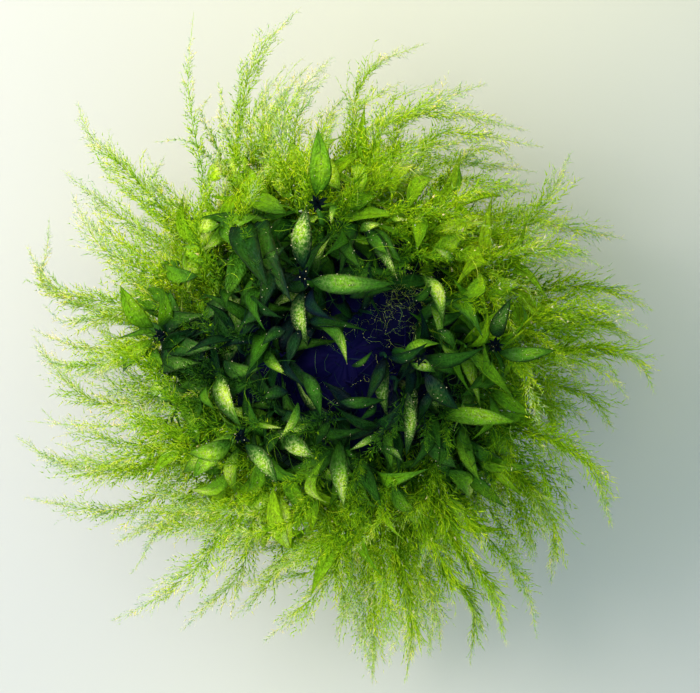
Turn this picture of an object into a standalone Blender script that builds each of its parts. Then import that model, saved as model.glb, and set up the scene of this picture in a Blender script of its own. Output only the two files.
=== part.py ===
"""A ball of water moss, resting on a small flat spot.

A felted tangle of old stems fills the middle. Short stems come out of it and carry rosettes of pointed,
keeled leaves. Feathery fronds grow out of it all round, in three tiers, and swirl clockwise seen from above.

Metres, +Z up. The origin is the centre of the flat spot that the ball rests on.
The plan is drawn on a sheet with u to the right and v down, as an eye straight above (350, 346.5) sees the
ball. One sheet unit is 0.064 mm at mid height, and the flat spot's centre is at (345, 347). Heights and radii
in the tables are millimetres.
"""

import math

import bmesh
import bpy
import numpy as np
from mathutils import Vector

MM = 0.001
SHEET_UNIT = 0.064  # mm
SHEET_CENTRE = (345.0, 347.0)
SHEET_EYE = (350.0, 346.5)
EYE_HEIGHT, MID_HEIGHT = 262.0, 12.0  # mm above the surface that the ball rests on
GAP = 0.30  # mm between neighbouring pieces

TANGLE_CENTRE = (0.0, -0.5, 10.6)  # mm
TANGLE_RADII = (9.4, 9.0, 11.5)  # mm
TANGLE_SEGMENTS, TANGLE_RINGS = 36, 19

FROND_POINTS = 14
FROND_ROOT, FROND_TIP = 0.26, 0.12  # radii in mm
LEAF_THICKNESS = 0.26  # mm
LEAF_ROWS = 8

# name, plan route and height: from the tangle's skin to the tip
STEMS = [
    ("stem_1", [(215, 338, 15.0), (185, 336, 16.2), (162, 335, 16.6)]),
    ("stem_2", [(268, 415, 19.0), (252, 428, 19.8), (240, 436, 20.0)]),
    ("stem_3", [(322, 245, 18.5), (322, 222, 19.2), (317, 204, 19.2)]),
    ("stem_4", [(455, 330, 18.0), (480, 338, 19.2), (495, 345, 19.4)]),
    ("stem_5", [(400, 352, 21.5), (412, 357, 22.6), (420, 360, 23.2)]),
    ("stem_6", [(320, 290, 21.5), (310, 283, 22.5), (303, 277, 23.0)]),
]

# name, base, tip (plan and height), width, how far the middle of the blade rises, roll in degrees
LEAVES = [
    ("leaf_01", (317, 196, 19.4), (318, 128, 20.2), 1.40, 0.35, 8),
    ("leaf_02", (303, 268, 23.2), (307, 206, 23.0), 1.30, 0.40, -12),
    ("leaf_03", (312, 281, 23.2), (396, 284, 24.4), 1.25, 0.55, 10),
    ("leaf_04", (365, 228, 20.6), (398, 280, 22.8), 1.00, 0.30, -20),
    ("leaf_05", (290, 240, 19.6), (193, 219, 17.6), 1.70, 0.60, 5),
    ("leaf_06", (421, 276, 20.6), (443, 325, 22.4), 0.95, 0.60, 15),
    ("leaf_07", (303, 290, 23.2), (311, 348, 24.6), 1.00, 0.70, -10),
    ("leaf_08", (153, 327, 17.0), (120, 285, 18.0), 1.20, 0.35, 10),
    ("leaf_09", (160, 326, 17.4), (163, 286, 19.4), 0.95, 0.30, -10),
    ("leaf_10", (152, 340, 16.8), (112, 352, 17.2), 1.00, 0.35, 6),
    ("leaf_11", (222, 372, 19.8), (242, 428, 21.2), 1.20, 0.55, -15),
    ("leaf_12", (232, 440, 20.2), (188, 453, 20.0), 1.25, 0.35, 8),
    ("leaf_13", (232, 446, 19.4), (193, 478, 17.8), 1.10, 0.40, 0),
    ("leaf_14", (246, 445, 20.0), (279, 484, 20.2), 1.05, 0.35, -8),
    ("leaf_15", (286, 432, 21.4), (316, 458, 22.6), 1.20, 0.25, 12),
    ("leaf_16", (273, 490, 17.4), (291, 552, 17.8), 0.95, 0.50, -6),
    ("leaf_17", (340, 440, 21.2), (344, 508, 21.4), 1.15, 0.60, 10),
    ("leaf_18", (408, 392, 22.8), (406, 456, 22.6), 0.80, 0.35, -12),
    ("leaf_19", (425, 373, 23.4), (459, 410, 23.4), 1.10, 0.35, 14),
    ("leaf_20", (440, 415, 20.2), (519, 422, 20.4), 1.15, 0.55, -12),
    ("leaf_21", (499, 352, 19.8), (556, 350, 20.2), 1.00, 0.35, 10),
    ("leaf_22", (497, 337, 20.0), (510, 298, 21.4), 1.00, 0.35, -8),
]

# name, route from the tangle's skin to the tip (plan and height), greatest radius
FRONDS = [
    ("frond_01", [(262, 262, 15.5), (214, 212, 17.2), (199, 155, 17.6), (188, 85, 17.0), (194, 8, 15.6)], 0.50),
    ("frond_02", [(275, 240, 11.5), (238, 165, 12.4), (242, 105, 12.8), (260, 52, 12.4), (302, 6, 11.6)], 0.72),
    ("frond_03", [(300, 235, 16.5), (284, 165, 18.4), (288, 108, 18.6), (335, 55, 17.6)], 0.75),
    ("frond_04", [(240, 275, 12.5), (175, 222, 13.8), (128, 172, 14.0), (92, 138, 13.2), (76, 98, 12.4)], 0.70),
    ("frond_05", [(225, 285, 6.8), (155, 240, 6.2), (105, 205, 5.4), (60, 168, 4.2)], 0.66),
    ("frond_06", [(215, 300, 15.0), (145, 272, 16.0), (98, 243, 15.4), (70, 190, 14.2)], 0.70),
    ("frond_07", [(205, 310, 9.8), (110, 302, 9.8), (55, 288, 9.4), (24, 243, 8.6)], 0.66),
    ("frond_08", [(200, 350, 13.2), (140, 354, 13.6), (95, 366, 13.4), (52, 362, 12.8), (32, 342, 12.4)], 0.66),
    ("frond_09", [(200, 385, 6.4), (130, 405, 5.8), (75, 390, 5.2), (31, 332, 4.4)], 0.66),
    ("frond_10", [(210, 400, 16.0), (140, 424, 17.0), (80, 425, 16.4), (24, 421, 15.2)], 0.46),
    ("frond_11", [(215, 430, 11.8), (150, 465, 13.2), (90, 470, 13.2), (45, 455, 12.8), (13, 434, 12.4)], 0.80),
    ("frond_12", [(225, 440, 7.4), (150, 500, 7.0), (95, 510, 6.4), (20, 496, 5.0)], 0.76),
    ("frond_13", [(255, 465, 14.8), (206, 556, 15.6), (150, 602, 14.6), (108, 622, 13.6)], 0.64),
    ("frond_14", [(275, 475, 9.0), (240, 572, 8.8), (205, 608, 8.6), (180, 632, 8.2)], 0.72),
    ("frond_15", [(330, 490, 14.6), (340, 556, 16.0), (312, 598, 15.6), (262, 644, 14.6)], 0.64),
    ("frond_16", [(365, 490, 7.0), (368, 560, 6.8), (374, 620, 6.2), (372, 688, 4.8)], 0.84),
    ("frond_17", [(390, 485, 12.4), (398, 560, 13.6), (412, 620, 13.4), (406, 682, 12.4)], 0.88),
    ("frond_18", [(410, 478, 9.4), (440, 560, 9.6), (472, 605, 9.4), (470, 668, 8.8)], 0.74),
    ("frond_19", [(425, 462, 15.6), (455, 540, 16.8), (490, 588, 16.2), (506, 645, 14.8)], 0.70),
    ("frond_20", [(455, 440, 11.4), (520, 475, 12.6), (552, 518, 12.4), (551, 585, 11.6)], 0.76),
    ("frond_21", [(470, 425, 15.8), (545, 437, 17.2), (592, 470, 16.6), (614, 532, 15.2)], 0.70),
    ("frond_22", [(478, 400, 7.0), (545, 385, 6.8), (590, 397, 6.2), (615, 432, 5.2)], 0.74),
    ("frond_23", [(485, 378, 13.0), (550, 352, 14.2), (610, 350, 14.2), (640, 364, 13.8), (655, 395, 13.0)], 0.70),
    ("frond_24", [(485, 350, 5.0), (545, 320, 4.6), (600, 322, 4.0), (642, 345, 3.2)], 0.74),
    ("frond_25", [(480, 322, 11.0), (540, 290, 11.6), (600, 288, 11.6), (654, 310, 11.0)], 0.74),
    ("frond_26", [(468, 300, 15.6), (520, 258, 17.4), (565, 248, 17.4), (603, 268, 16.6)], 0.60),
    ("frond_27", [(465, 280, 7.6), (510, 222, 7.4), (560, 226, 6.8), (628, 240, 5.6)], 0.66),
    ("frond_28", [(460, 268, 13.4), (520, 232, 14.8), (550, 195, 15.0), (572, 150, 14.4)], 0.56),
    ("frond_29", [(410, 245, 10.2), (395, 138, 10.8), (440, 112, 10.8), (532, 132, 10.2)], 0.80),
    ("frond_30", [(390, 235, 15.4), (374, 142, 17.0), (420, 108, 17.0), (490, 82, 15.8)], 0.62),
    ("frond_31", [(365, 230, 7.2), (352, 125, 6.8), (372, 68, 6.2), (430, 42, 5.0)], 0.70),
]


def plan(u, v, z):
    """The point at a height, in mm, that the eye sees at (u, v) of the plan sheet."""
    nearer = (EYE_HEIGHT - z) / (EYE_HEIGHT - MID_HEIGHT)
    x = SHEET_EYE[0] - SHEET_CENTRE[0] + (u - SHEET_EYE[0]) * nearer
    y = SHEET_CENTRE[1] - SHEET_EYE[1] + (SHEET_EYE[1] - v) * nearer
    return np.array((x * SHEET_UNIT, y * SHEET_UNIT, z))


def tangle_reach(d):
    """Distance in mm from the tangle's centre to its skin along the unit vector d."""
    base = 1.0 / math.sqrt(sum((c / r) ** 2 for c, r in zip(d, TANGLE_RADII)))
    turn, rise = math.atan2(d[1], d[0]), math.asin(max(-1.0, min(1.0, d[2])))
    side = math.cos(rise) ** 2
    lumps = 0.035 * math.sin(3 * turn + 0.8) * math.cos(2 * rise) + 0.028 * math.sin(5 * turn + 4 * rise) + 0.02 * math.sin(8 * turn - 3 * rise + 2.0)
    return base * (1.0 + side * lumps)


def off_tangle(p, clear):
    """The point p, moved straight out of the tangle until it is clear mm off its skin."""
    c = np.array(TANGLE_CENTRE)
    d = p - c
    far = float(np.linalg.norm(d))
    d = d / far
    need = tangle_reach(d) + clear
    return c + d * need if far < need else p


def on_skin(p, clear):
    """The point clear mm off the tangle's skin, in the direction of p from its centre."""
    c = np.array(TANGLE_CENTRE)
    d = (p - c) / np.linalg.norm(p - c)
    return c + d * (tangle_reach(d) + clear)


def smooth_route(points, count):
    """count points at even spacing on a smooth curve through the given ones."""
    pts = [np.array(p, float) for p in points]
    pts = [2 * pts[0] - pts[1]] + pts + [2 * pts[-1] - pts[-2]]
    fine = []
    for a, b, c, d in zip(pts, pts[1:], pts[2:], pts[3:]):
        for i in range(24):
            t = i / 24
            fine.append(0.5 * (2 * b + (c - a) * t + (2 * a - 5 * b + 4 * c - d) * t * t + (3 * b - a - 3 * c + d) * t**3))
    fine.append(pts[-2])
    fine = np.array(fine)
    along = np.concatenate([[0.0], np.cumsum(np.linalg.norm(np.diff(fine, axis=0), axis=1))])
    want = np.linspace(0.0, along[-1], count)
    return np.column_stack([np.interp(want, along, fine[:, k]) for k in range(3)])


def frond_radius(t, girth):
    """A frond's radius in mm at t of its length: a slim root, fullest at two fifths, then a long taper."""
    swell = math.sin(math.pi * t**0.76) ** 0.8 if 0 < t < 1 else 0.0
    ends = FROND_ROOT + (FROND_TIP - FROND_ROOT) * t
    return ends + (girth - ends) * swell if girth > ends else ends


def leaf_width(t, width):
    """A leaf's width in mm at t of its length: narrow at the base, broad below the middle, pointed at the tip."""
    form = (t + 0.06) ** 0.62 * (1.0 - t) ** 0.85 / 0.405
    return 0.16 + (width - 0.16) * min(1.0, form)


def leaf_grid(base, tip, width, rise, roll):
    """Rows of points in mm across a keeled blade from base to tip, LEAF_ROWS + 1 rows of three."""
    along = tip - base
    length = float(np.linalg.norm(along))
    along = along / length
    side = np.cross(along, (0.0, 0.0, 1.0))
    side /= np.linalg.norm(side)
    up = np.cross(side, along)
    a = math.radians(roll)
    side, up = side * math.cos(a) + up * math.sin(a), up * math.cos(a) - side * math.sin(a)
    rows = []
    for i in range(LEAF_ROWS + 1):
        t = i / LEAF_ROWS
        half = leaf_width(t, width) / 2
        mid = base + along * length * t + up * rise * math.sin(math.pi * t**0.85)
        rows.append([mid + side * half * s + up * half * 0.32 * abs(s) for s in (-1.0, 0.0, 1.0)])
    return np.array(rows)


def too_near(points, radii, placed):
    """Whether any ball of the new piece comes within GAP of a ball already placed."""
    for other, other_radii in placed:
        apart = np.linalg.norm(points[:, None] - other[None], axis=2)
        if (apart < radii[:, None] + other_radii[None] + GAP).any():
            return True
    return False


def lifts(step, most):
    """0, then steps up and down in turn."""
    yield 0.0
    n = 1
    while n * step <= most:
        yield n * step
        yield -n * step
        n += 1


def lay_out():
    """Routes of stems and fronds, and grids of leaves, in mm. A piece that would touch one laid before it is lifted or lowered until it is clear."""
    placed, stems, leaves, fronds = [], {}, {}, {}
    for name, route in STEMS:
        pts = [plan(*p) for p in route]
        pts[0] = on_skin(pts[0], GAP + 0.30)
        pts = smooth_route(pts, 7)
        radii = np.linspace(0.34, 0.22, len(pts))
        stems[name] = (pts, radii)
        fine = smooth_route(pts, 16)
        placed.append((fine, np.linspace(0.34, 0.22, 16)))
    for name, base, tip, width, rise, roll in LEAVES:
        for dz in lifts(0.15, 3.0):
            b, t = plan(*base), plan(*tip)
            t[2] += dz
            b[2] += 0.4 * dz
            grid = leaf_grid(off_tangle(b, 0.5), off_tangle(t, 0.7), width, rise, roll)
            fine = np.concatenate([grid.reshape(-1, 3), ((grid[:, :-1] + grid[:, 1:]) / 2).reshape(-1, 3), ((grid[:-1] + grid[1:]) / 2).reshape(-1, 3)])
            c = np.array(TANGLE_CENTRE)
            d = fine - c
            far = np.linalg.norm(d, axis=1)
            skin = np.array([tangle_reach(v / f) for v, f in zip(d, far)])
            clear = (far - skin > GAP + LEAF_THICKNESS / 2).all()
            if clear and not too_near(fine, np.full(len(fine), LEAF_THICKNESS / 2 + 0.06), placed):
                break
        leaves[name] = grid
        placed.append((fine, np.full(len(fine), LEAF_THICKNESS / 2 + 0.06)))
    for name, route, girth in FRONDS:
        for dz in lifts(0.2, 4.0):
            pts = [plan(*p) for p in route]
            pts[0] = on_skin(pts[0], GAP + FROND_ROOT)
            for p in pts[1:]:
                p[2] += dz
            pts = smooth_route(pts, FROND_POINTS)
            radii = np.array([frond_radius(i / (FROND_POINTS - 1), girth) for i in range(FROND_POINTS)])
            pts = np.array([off_tangle(p, GAP + r) for p, r in zip(pts, radii)])
            if pts[:, 2].min() < girth + 0.6:
                continue
            fine = smooth_route(pts, 48)
            fine_radii = np.interp(np.linspace(0, 1, 48), np.linspace(0, 1, FROND_POINTS), radii)
            if not too_near(fine, fine_radii, placed):
                break
        fronds[name] = (pts, radii)
        placed.append((fine, fine_radii))
    return stems, leaves, fronds


def make_material(name, colour, roughness):
    material = bpy.data.materials.new(name)
    material.use_nodes = True
    shader = material.node_tree.nodes["Principled BSDF"]
    shader.inputs["Base Color"].default_value = (*colour, 1.0)
    shader.inputs["Roughness"].default_value = roughness
    shader.inputs["Metallic"].default_value = 0.0
    material.diffuse_color = (*colour, 1.0)
    return material


def add_to_ball(obj, ball, root, material):
    obj.data.materials.append(material)
    for collection in list(obj.users_collection):
        collection.objects.unlink(obj)
    ball.objects.link(obj)
    obj.parent = root


def make_tangle(ball, root, material):
    """The felted lump: a sphere drawn out to the tangle's skin and cut flat where it rests."""
    bpy.ops.mesh.primitive_uv_sphere_add(segments=TANGLE_SEGMENTS, ring_count=TANGLE_RINGS, radius=1.0)
    obj = bpy.context.object
    obj.name = obj.data.name = "tangle"
    mesh = bmesh.new()
    mesh.from_mesh(obj.data)
    for vertex in mesh.verts:
        d = vertex.co.normalized()
        vertex.co = (Vector(TANGLE_CENTRE) + d * tangle_reach(d)) * MM
    cut = bmesh.ops.bisect_plane(
        mesh, geom=mesh.verts[:] + mesh.edges[:] + mesh.faces[:], dist=1e-7, plane_co=(0, 0, 0), plane_no=(0, 0, -1), clear_outer=True
    )
    rim = [e for e in cut["geom_cut"] if isinstance(e, bmesh.types.BMEdge)]
    bmesh.ops.holes_fill(mesh, edges=rim, sides=0)
    for vertex in mesh.verts:
        if abs(vertex.co.z) < 1e-6:
            vertex.co.z = 0.0
    bmesh.ops.recalc_face_normals(mesh, faces=mesh.faces[:])
    mesh.to_mesh(obj.data)
    mesh.free()
    obj.data.shade_smooth()
    add_to_ball(obj, ball, root, material)


def make_rod(name, points, radii, ball, root, material):
    """A round rod of changing radius along a route, as a bevelled curve with filled ends."""
    curve = bpy.data.curves.new(name, "CURVE")
    curve.dimensions = "3D"
    curve.resolution_u = 1
    curve.bevel_depth = MM
    curve.bevel_resolution = 1
    curve.use_fill_caps = True
    spline = curve.splines.new("POLY")
    spline.points.add(len(points) - 1)
    start = points[0]
    for point, at, radius in zip(spline.points, points, radii):
        point.co = (*((at - start) * MM), 1.0)
        point.radius = float(radius)
    obj = bpy.data.objects.new(name, curve)
    obj.location = [float(c) * MM for c in start]
    ball.objects.link(obj)
    obj.parent = root
    obj.data.materials.append(material)


def make_leaf(name, grid, ball, root, material):
    """A pointed, keeled blade: a grid laid on the leaf's rows, thickened both ways."""
    bpy.ops.mesh.primitive_grid_add(x_subdivisions=2, y_subdivisions=LEAF_ROWS, size=2.0)
    obj = bpy.context.object
    obj.name = obj.data.name = name
    start = grid[0, 1]
    for vertex in obj.data.vertices:
        column = round(vertex.co.x + 1.0)
        row = round((vertex.co.y + 1.0) / 2.0 * LEAF_ROWS)
        vertex.co = Vector((grid[row, column] - start) * MM)
    obj.location = [float(c) * MM for c in start]
    thick = obj.modifiers.new("blade", "SOLIDIFY")
    thick.thickness = LEAF_THICKNESS * MM
    thick.offset = 0.0
    obj.data.shade_smooth()
    add_to_ball(obj, ball, root, material)


def main():
    for obj in list(bpy.data.objects):
        bpy.data.objects.remove(obj, do_unlink=True)
    ball = bpy.data.collections.new("moss_ball")
    bpy.context.scene.collection.children.link(ball)
    root = bpy.data.objects.new("moss_ball_root", None)
    ball.objects.link(root)

    stems, leaves, fronds = lay_out()
    make_tangle(ball, root, make_material("tangle_felt", (0.012, 0.022, 0.014), 0.9))
    for i, (name, (points, radii)) in enumerate(stems.items()):
        tone = 0.9 + 0.05 * (i % 4)
        make_rod(name, points, radii, ball, root, make_material(name + "_skin", (0.05 * tone, 0.11 * tone, 0.02), 0.6))
    for i, (name, grid) in enumerate(leaves.items()):
        tone = 0.75 + 0.1 * (i % 5)
        make_leaf(name, grid, ball, root, make_material(name + "_blade", (0.09 * tone, 0.24 * tone, 0.03), 0.35))
    for i, (name, (points, radii)) in enumerate(fronds.items()):
        tone = 0.85 + 0.07 * (i % 4)
        make_rod(name, points, radii, ball, root, make_material(name + "_plume", (0.25 * tone, 0.45 * tone, 0.06), 0.6))


main()
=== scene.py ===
"""The looks of a ball of water moss: feathery fronds, glossy pointed leaves and a dark tangle of old stems.

Lengths in the tables and in the making of shapes are millimetres, and become metres when a mesh is written.
"""

import math

import bpy
import numpy as np
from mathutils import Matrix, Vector


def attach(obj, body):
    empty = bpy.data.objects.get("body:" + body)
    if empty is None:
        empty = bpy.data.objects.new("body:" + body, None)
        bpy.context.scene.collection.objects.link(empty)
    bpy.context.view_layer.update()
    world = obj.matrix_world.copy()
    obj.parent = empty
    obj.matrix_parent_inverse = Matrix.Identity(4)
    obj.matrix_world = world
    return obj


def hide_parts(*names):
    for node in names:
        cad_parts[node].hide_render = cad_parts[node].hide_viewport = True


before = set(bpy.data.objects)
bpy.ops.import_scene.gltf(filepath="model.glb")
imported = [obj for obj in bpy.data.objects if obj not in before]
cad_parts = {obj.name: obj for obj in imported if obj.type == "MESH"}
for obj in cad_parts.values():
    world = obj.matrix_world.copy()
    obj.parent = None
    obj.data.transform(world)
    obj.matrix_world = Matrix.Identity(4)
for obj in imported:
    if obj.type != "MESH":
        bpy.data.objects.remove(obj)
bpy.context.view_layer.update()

MM = 0.001

# ---------------------------------------------------------------- camera, floor and light

SHEET_UNIT = 0.064  # mm
SHEET_CENTRE = (345.0, 347.0)
SHEET_EYE = (350.0, 346.5)
EYE_HEIGHT, MID_HEIGHT = 262.0, 12.0  # mm above the surface that the ball rests on
SHEET_WIDTH = 700

scene = bpy.context.scene
scene.view_settings.view_transform = "Standard"

camera = bpy.data.cameras.new("eye")
camera.sensor_width = 36.0
camera.lens = 36.0 * (EYE_HEIGHT - MID_HEIGHT) / (SHEET_WIDTH * SHEET_UNIT)
camera.clip_start, camera.clip_end = 0.01, 10.0
eye = bpy.data.objects.new("eye", camera)
eye.location = (
    (SHEET_EYE[0] - SHEET_CENTRE[0]) * SHEET_UNIT * MM,
    (SHEET_CENTRE[1] - SHEET_EYE[1]) * SHEET_UNIT * MM,
    EYE_HEIGHT * MM,
)
scene.collection.objects.link(eye)
scene.camera = eye


def aim(obj, at):
    obj.rotation_mode = "QUATERNION"
    obj.rotation_quaternion = (Vector(at) - obj.location).to_track_quat("-Z", "Y")
    scene.collection.objects.link(obj)


def soft_lamp(name, place, at, size, power, colour, fan=180.0):
    """A square lamp of this size in metres, which no camera sees. fan is how widely its light spreads, in degrees."""
    light = bpy.data.lights.new(name, "AREA")
    light.spread = math.radians(fan)
    light.shape, light.size, light.energy, light.color = "SQUARE", size, power, colour
    obj = bpy.data.objects.new(name, light)
    obj.location = place
    obj.visible_camera = False
    aim(obj, at)


def sun(name, towards, strength, colour, spread):
    light = bpy.data.lights.new(name, "SUN")
    light.energy, light.color, light.angle = strength, colour, math.radians(spread)
    obj = bpy.data.objects.new(name, light)
    aim(obj, towards)


soft_lamp("key", (-0.081, 0.031, 0.072), (-0.028, 0.011, 0.002), 0.10, 0.0720, (1.0, 0.912, 0.825), 125.0)
soft_lamp("warm", (0.008, 0.056, 0.040), (0.004, 0.026, 0.002), 0.045, 0.0200, (1.0, 0.90, 0.12))
soft_lamp("low_warm", (-0.003, -0.050, 0.026), (-0.003, -0.024, 0.001), 0.032, 0.0100, (1.0, 0.95, 0.42))
sun("spark", (0.64, -0.20, -0.74), 0.36, (1.0, 0.92, 0.84), 12)

world = bpy.data.worlds.new("studio")
world.use_nodes = True
world.node_tree.nodes["Background"].inputs["Color"].default_value = (0.530, 0.812, 1.050, 1.0)
world.node_tree.nodes["Background"].inputs["Strength"].default_value = 0.61
scene.world = world

# ---------------------------------------------------------------- the ball's own plan, as its solids have it

GAP = 0.30
TANGLE_CENTRE = (0.0, -0.5, 10.6)
TANGLE_RADII = (9.4, 9.0, 11.5)
FROND_POINTS = 14
FROND_ROOT, FROND_TIP = 0.26, 0.12
LEAF_THICKNESS = 0.26
LEAF_ROWS = 8

STEMS = [
    ("stem_1", [(215, 338, 15.0), (185, 336, 16.2), (162, 335, 16.6)]),
    ("stem_2", [(268, 415, 19.0), (252, 428, 19.8), (240, 436, 20.0)]),
    ("stem_3", [(322, 245, 18.5), (322, 222, 19.2), (317, 204, 19.2)]),
    ("stem_4", [(455, 330, 18.0), (480, 338, 19.2), (495, 345, 19.4)]),
    ("stem_5", [(400, 352, 21.5), (412, 357, 22.6), (420, 360, 23.2)]),
    ("stem_6", [(320, 290, 21.5), (310, 283, 22.5), (303, 277, 23.0)]),
]

# name, base, tip (plan and height), width, how far the middle of the blade rises, roll in degrees
LEAVES = [
    ("leaf_01", (317, 196, 19.4), (318, 128, 20.2), 1.40, 0.35, 8),
    ("leaf_02", (303, 268, 23.2), (307, 206, 23.0), 1.30, 0.40, -12),
    ("leaf_03", (312, 281, 23.2), (396, 284, 24.4), 1.25, 0.55, 10),
    ("leaf_04", (365, 228, 20.6), (398, 280, 22.8), 1.00, 0.30, -20),
    ("leaf_05", (290, 240, 19.6), (193, 219, 17.6), 1.70, 0.60, 5),
    ("leaf_06", (421, 276, 20.6), (443, 325, 22.4), 0.95, 0.60, 15),
    ("leaf_07", (303, 290, 23.2), (311, 348, 24.6), 1.00, 0.70, -10),
    ("leaf_08", (153, 327, 17.0), (120, 285, 18.0), 1.20, 0.35, 10),
    ("leaf_09", (160, 326, 17.4), (163, 286, 19.4), 0.95, 0.30, -10),
    ("leaf_10", (152, 340, 16.8), (112, 352, 17.2), 1.00, 0.35, 6),
    ("leaf_11", (222, 372, 19.8), (242, 428, 21.2), 1.20, 0.55, -15),
    ("leaf_12", (232, 440, 20.2), (188, 453, 20.0), 1.25, 0.35, 8),
    ("leaf_13", (232, 446, 19.4), (193, 478, 17.8), 1.10, 0.40, 0),
    ("leaf_14", (246, 445, 20.0), (279, 484, 20.2), 1.05, 0.35, -8),
    ("leaf_15", (286, 432, 21.4), (316, 458, 22.6), 1.20, 0.25, 12),
    ("leaf_16", (273, 490, 17.4), (291, 552, 17.8), 0.95, 0.50, -6),
    ("leaf_17", (340, 440, 21.2), (344, 508, 21.4), 1.15, 0.60, 10),
    ("leaf_18", (408, 392, 22.8), (406, 456, 22.6), 0.80, 0.35, -12),
    ("leaf_19", (425, 373, 23.4), (459, 410, 23.4), 1.10, 0.35, 14),
    ("leaf_20", (440, 415, 20.2), (519, 422, 20.4), 1.15, 0.55, -12),
    ("leaf_21", (499, 352, 19.8), (556, 350, 20.2), 1.00, 0.35, 10),
    ("leaf_22", (497, 337, 20.0), (510, 298, 21.4), 1.00, 0.35, -8),
]

# name, route from the tangle's skin to the tip (plan and height), greatest radius
FRONDS = [
    ("frond_01", [(262, 262, 15.5), (214, 212, 17.2), (199, 155, 17.6), (188, 85, 17.0), (194, 8, 15.6)], 0.50),
    ("frond_02", [(275, 240, 11.5), (238, 165, 12.4), (242, 105, 12.8), (260, 52, 12.4), (302, 6, 11.6)], 0.72),
    ("frond_03", [(300, 235, 16.5), (284, 165, 18.4), (288, 108, 18.6), (335, 55, 17.6)], 0.75),
    ("frond_04", [(240, 275, 12.5), (175, 222, 13.8), (128, 172, 14.0), (92, 138, 13.2), (76, 98, 12.4)], 0.70),
    ("frond_05", [(225, 285, 6.8), (155, 240, 6.2), (105, 205, 5.4), (60, 168, 4.2)], 0.66),
    ("frond_06", [(215, 300, 15.0), (145, 272, 16.0), (98, 243, 15.4), (70, 190, 14.2)], 0.70),
    ("frond_07", [(205, 310, 9.8), (110, 302, 9.8), (55, 288, 9.4), (24, 243, 8.6)], 0.66),
    ("frond_08", [(200, 350, 13.2), (140, 354, 13.6), (95, 366, 13.4), (52, 362, 12.8), (32, 342, 12.4)], 0.66),
    ("frond_09", [(200, 385, 6.4), (130, 405, 5.8), (75, 390, 5.2), (31, 332, 4.4)], 0.66),
    ("frond_10", [(210, 400, 16.0), (140, 424, 17.0), (80, 425, 16.4), (24, 421, 15.2)], 0.46),
    ("frond_11", [(215, 430, 11.8), (150, 465, 13.2), (90, 470, 13.2), (45, 455, 12.8), (13, 434, 12.4)], 0.80),
    ("frond_12", [(225, 440, 7.4), (150, 500, 7.0), (95, 510, 6.4), (20, 496, 5.0)], 0.76),
    ("frond_13", [(255, 465, 14.8), (206, 556, 15.6), (150, 602, 14.6), (108, 622, 13.6)], 0.64),
    ("frond_14", [(275, 475, 9.0), (240, 572, 8.8), (205, 608, 8.6), (180, 632, 8.2)], 0.72),
    ("frond_15", [(330, 490, 14.6), (340, 556, 16.0), (312, 598, 15.6), (262, 644, 14.6)], 0.64),
    ("frond_16", [(365, 490, 7.0), (368, 560, 6.8), (374, 620, 6.2), (372, 688, 4.8)], 0.84),
    ("frond_17", [(390, 485, 12.4), (398, 560, 13.6), (412, 620, 13.4), (406, 682, 12.4)], 0.88),
    ("frond_18", [(410, 478, 9.4), (440, 560, 9.6), (472, 605, 9.4), (470, 668, 8.8)], 0.74),
    ("frond_19", [(425, 462, 15.6), (455, 540, 16.8), (490, 588, 16.2), (506, 645, 14.8)], 0.70),
    ("frond_20", [(455, 440, 11.4), (520, 475, 12.6), (552, 518, 12.4), (551, 585, 11.6)], 0.76),
    ("frond_21", [(470, 425, 15.8), (545, 437, 17.2), (592, 470, 16.6), (614, 532, 15.2)], 0.70),
    ("frond_22", [(478, 400, 7.0), (545, 385, 6.8), (590, 397, 6.2), (615, 432, 5.2)], 0.74),
    ("frond_23", [(485, 378, 13.0), (550, 352, 14.2), (610, 350, 14.2), (640, 364, 13.8), (655, 395, 13.0)], 0.70),
    ("frond_24", [(485, 350, 5.0), (545, 320, 4.6), (600, 322, 4.0), (642, 345, 3.2)], 0.74),
    ("frond_25", [(480, 322, 11.0), (540, 290, 11.6), (600, 288, 11.6), (654, 310, 11.0)], 0.74),
    ("frond_26", [(468, 300, 15.6), (520, 258, 17.4), (565, 248, 17.4), (603, 268, 16.6)], 0.60),
    ("frond_27", [(465, 280, 7.6), (510, 222, 7.4), (560, 226, 6.8), (628, 240, 5.6)], 0.66),
    ("frond_28", [(460, 268, 13.4), (520, 232, 14.8), (550, 195, 15.0), (572, 150, 14.4)], 0.56),
    ("frond_29", [(410, 245, 10.2), (395, 138, 10.8), (440, 112, 10.8), (532, 132, 10.2)], 0.80),
    ("frond_30", [(390, 235, 15.4), (374, 142, 17.0), (420, 108, 17.0), (490, 82, 15.8)], 0.62),
    ("frond_31", [(365, 230, 7.2), (352, 125, 6.8), (372, 68, 6.2), (430, 42, 5.0)], 0.70),
]


def plan(u, v, z):
    """The point at a height, in mm, that the eye sees at (u, v) of the plan sheet."""
    nearer = (EYE_HEIGHT - z) / (EYE_HEIGHT - MID_HEIGHT)
    x = SHEET_EYE[0] - SHEET_CENTRE[0] + (u - SHEET_EYE[0]) * nearer
    y = SHEET_CENTRE[1] - SHEET_EYE[1] + (SHEET_EYE[1] - v) * nearer
    return np.array((x * SHEET_UNIT, y * SHEET_UNIT, z))


def tangle_reach(d):
    """Distance in mm from the tangle's centre to its skin along the unit vector d."""
    base = 1.0 / math.sqrt(sum((c / r) ** 2 for c, r in zip(d, TANGLE_RADII)))
    turn, rise = math.atan2(d[1], d[0]), math.asin(max(-1.0, min(1.0, d[2])))
    side = math.cos(rise) ** 2
    lumps = 0.035 * math.sin(3 * turn + 0.8) * math.cos(2 * rise) + 0.028 * math.sin(5 * turn + 4 * rise) + 0.02 * math.sin(8 * turn - 3 * rise + 2.0)
    return base * (1.0 + side * lumps)


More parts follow.
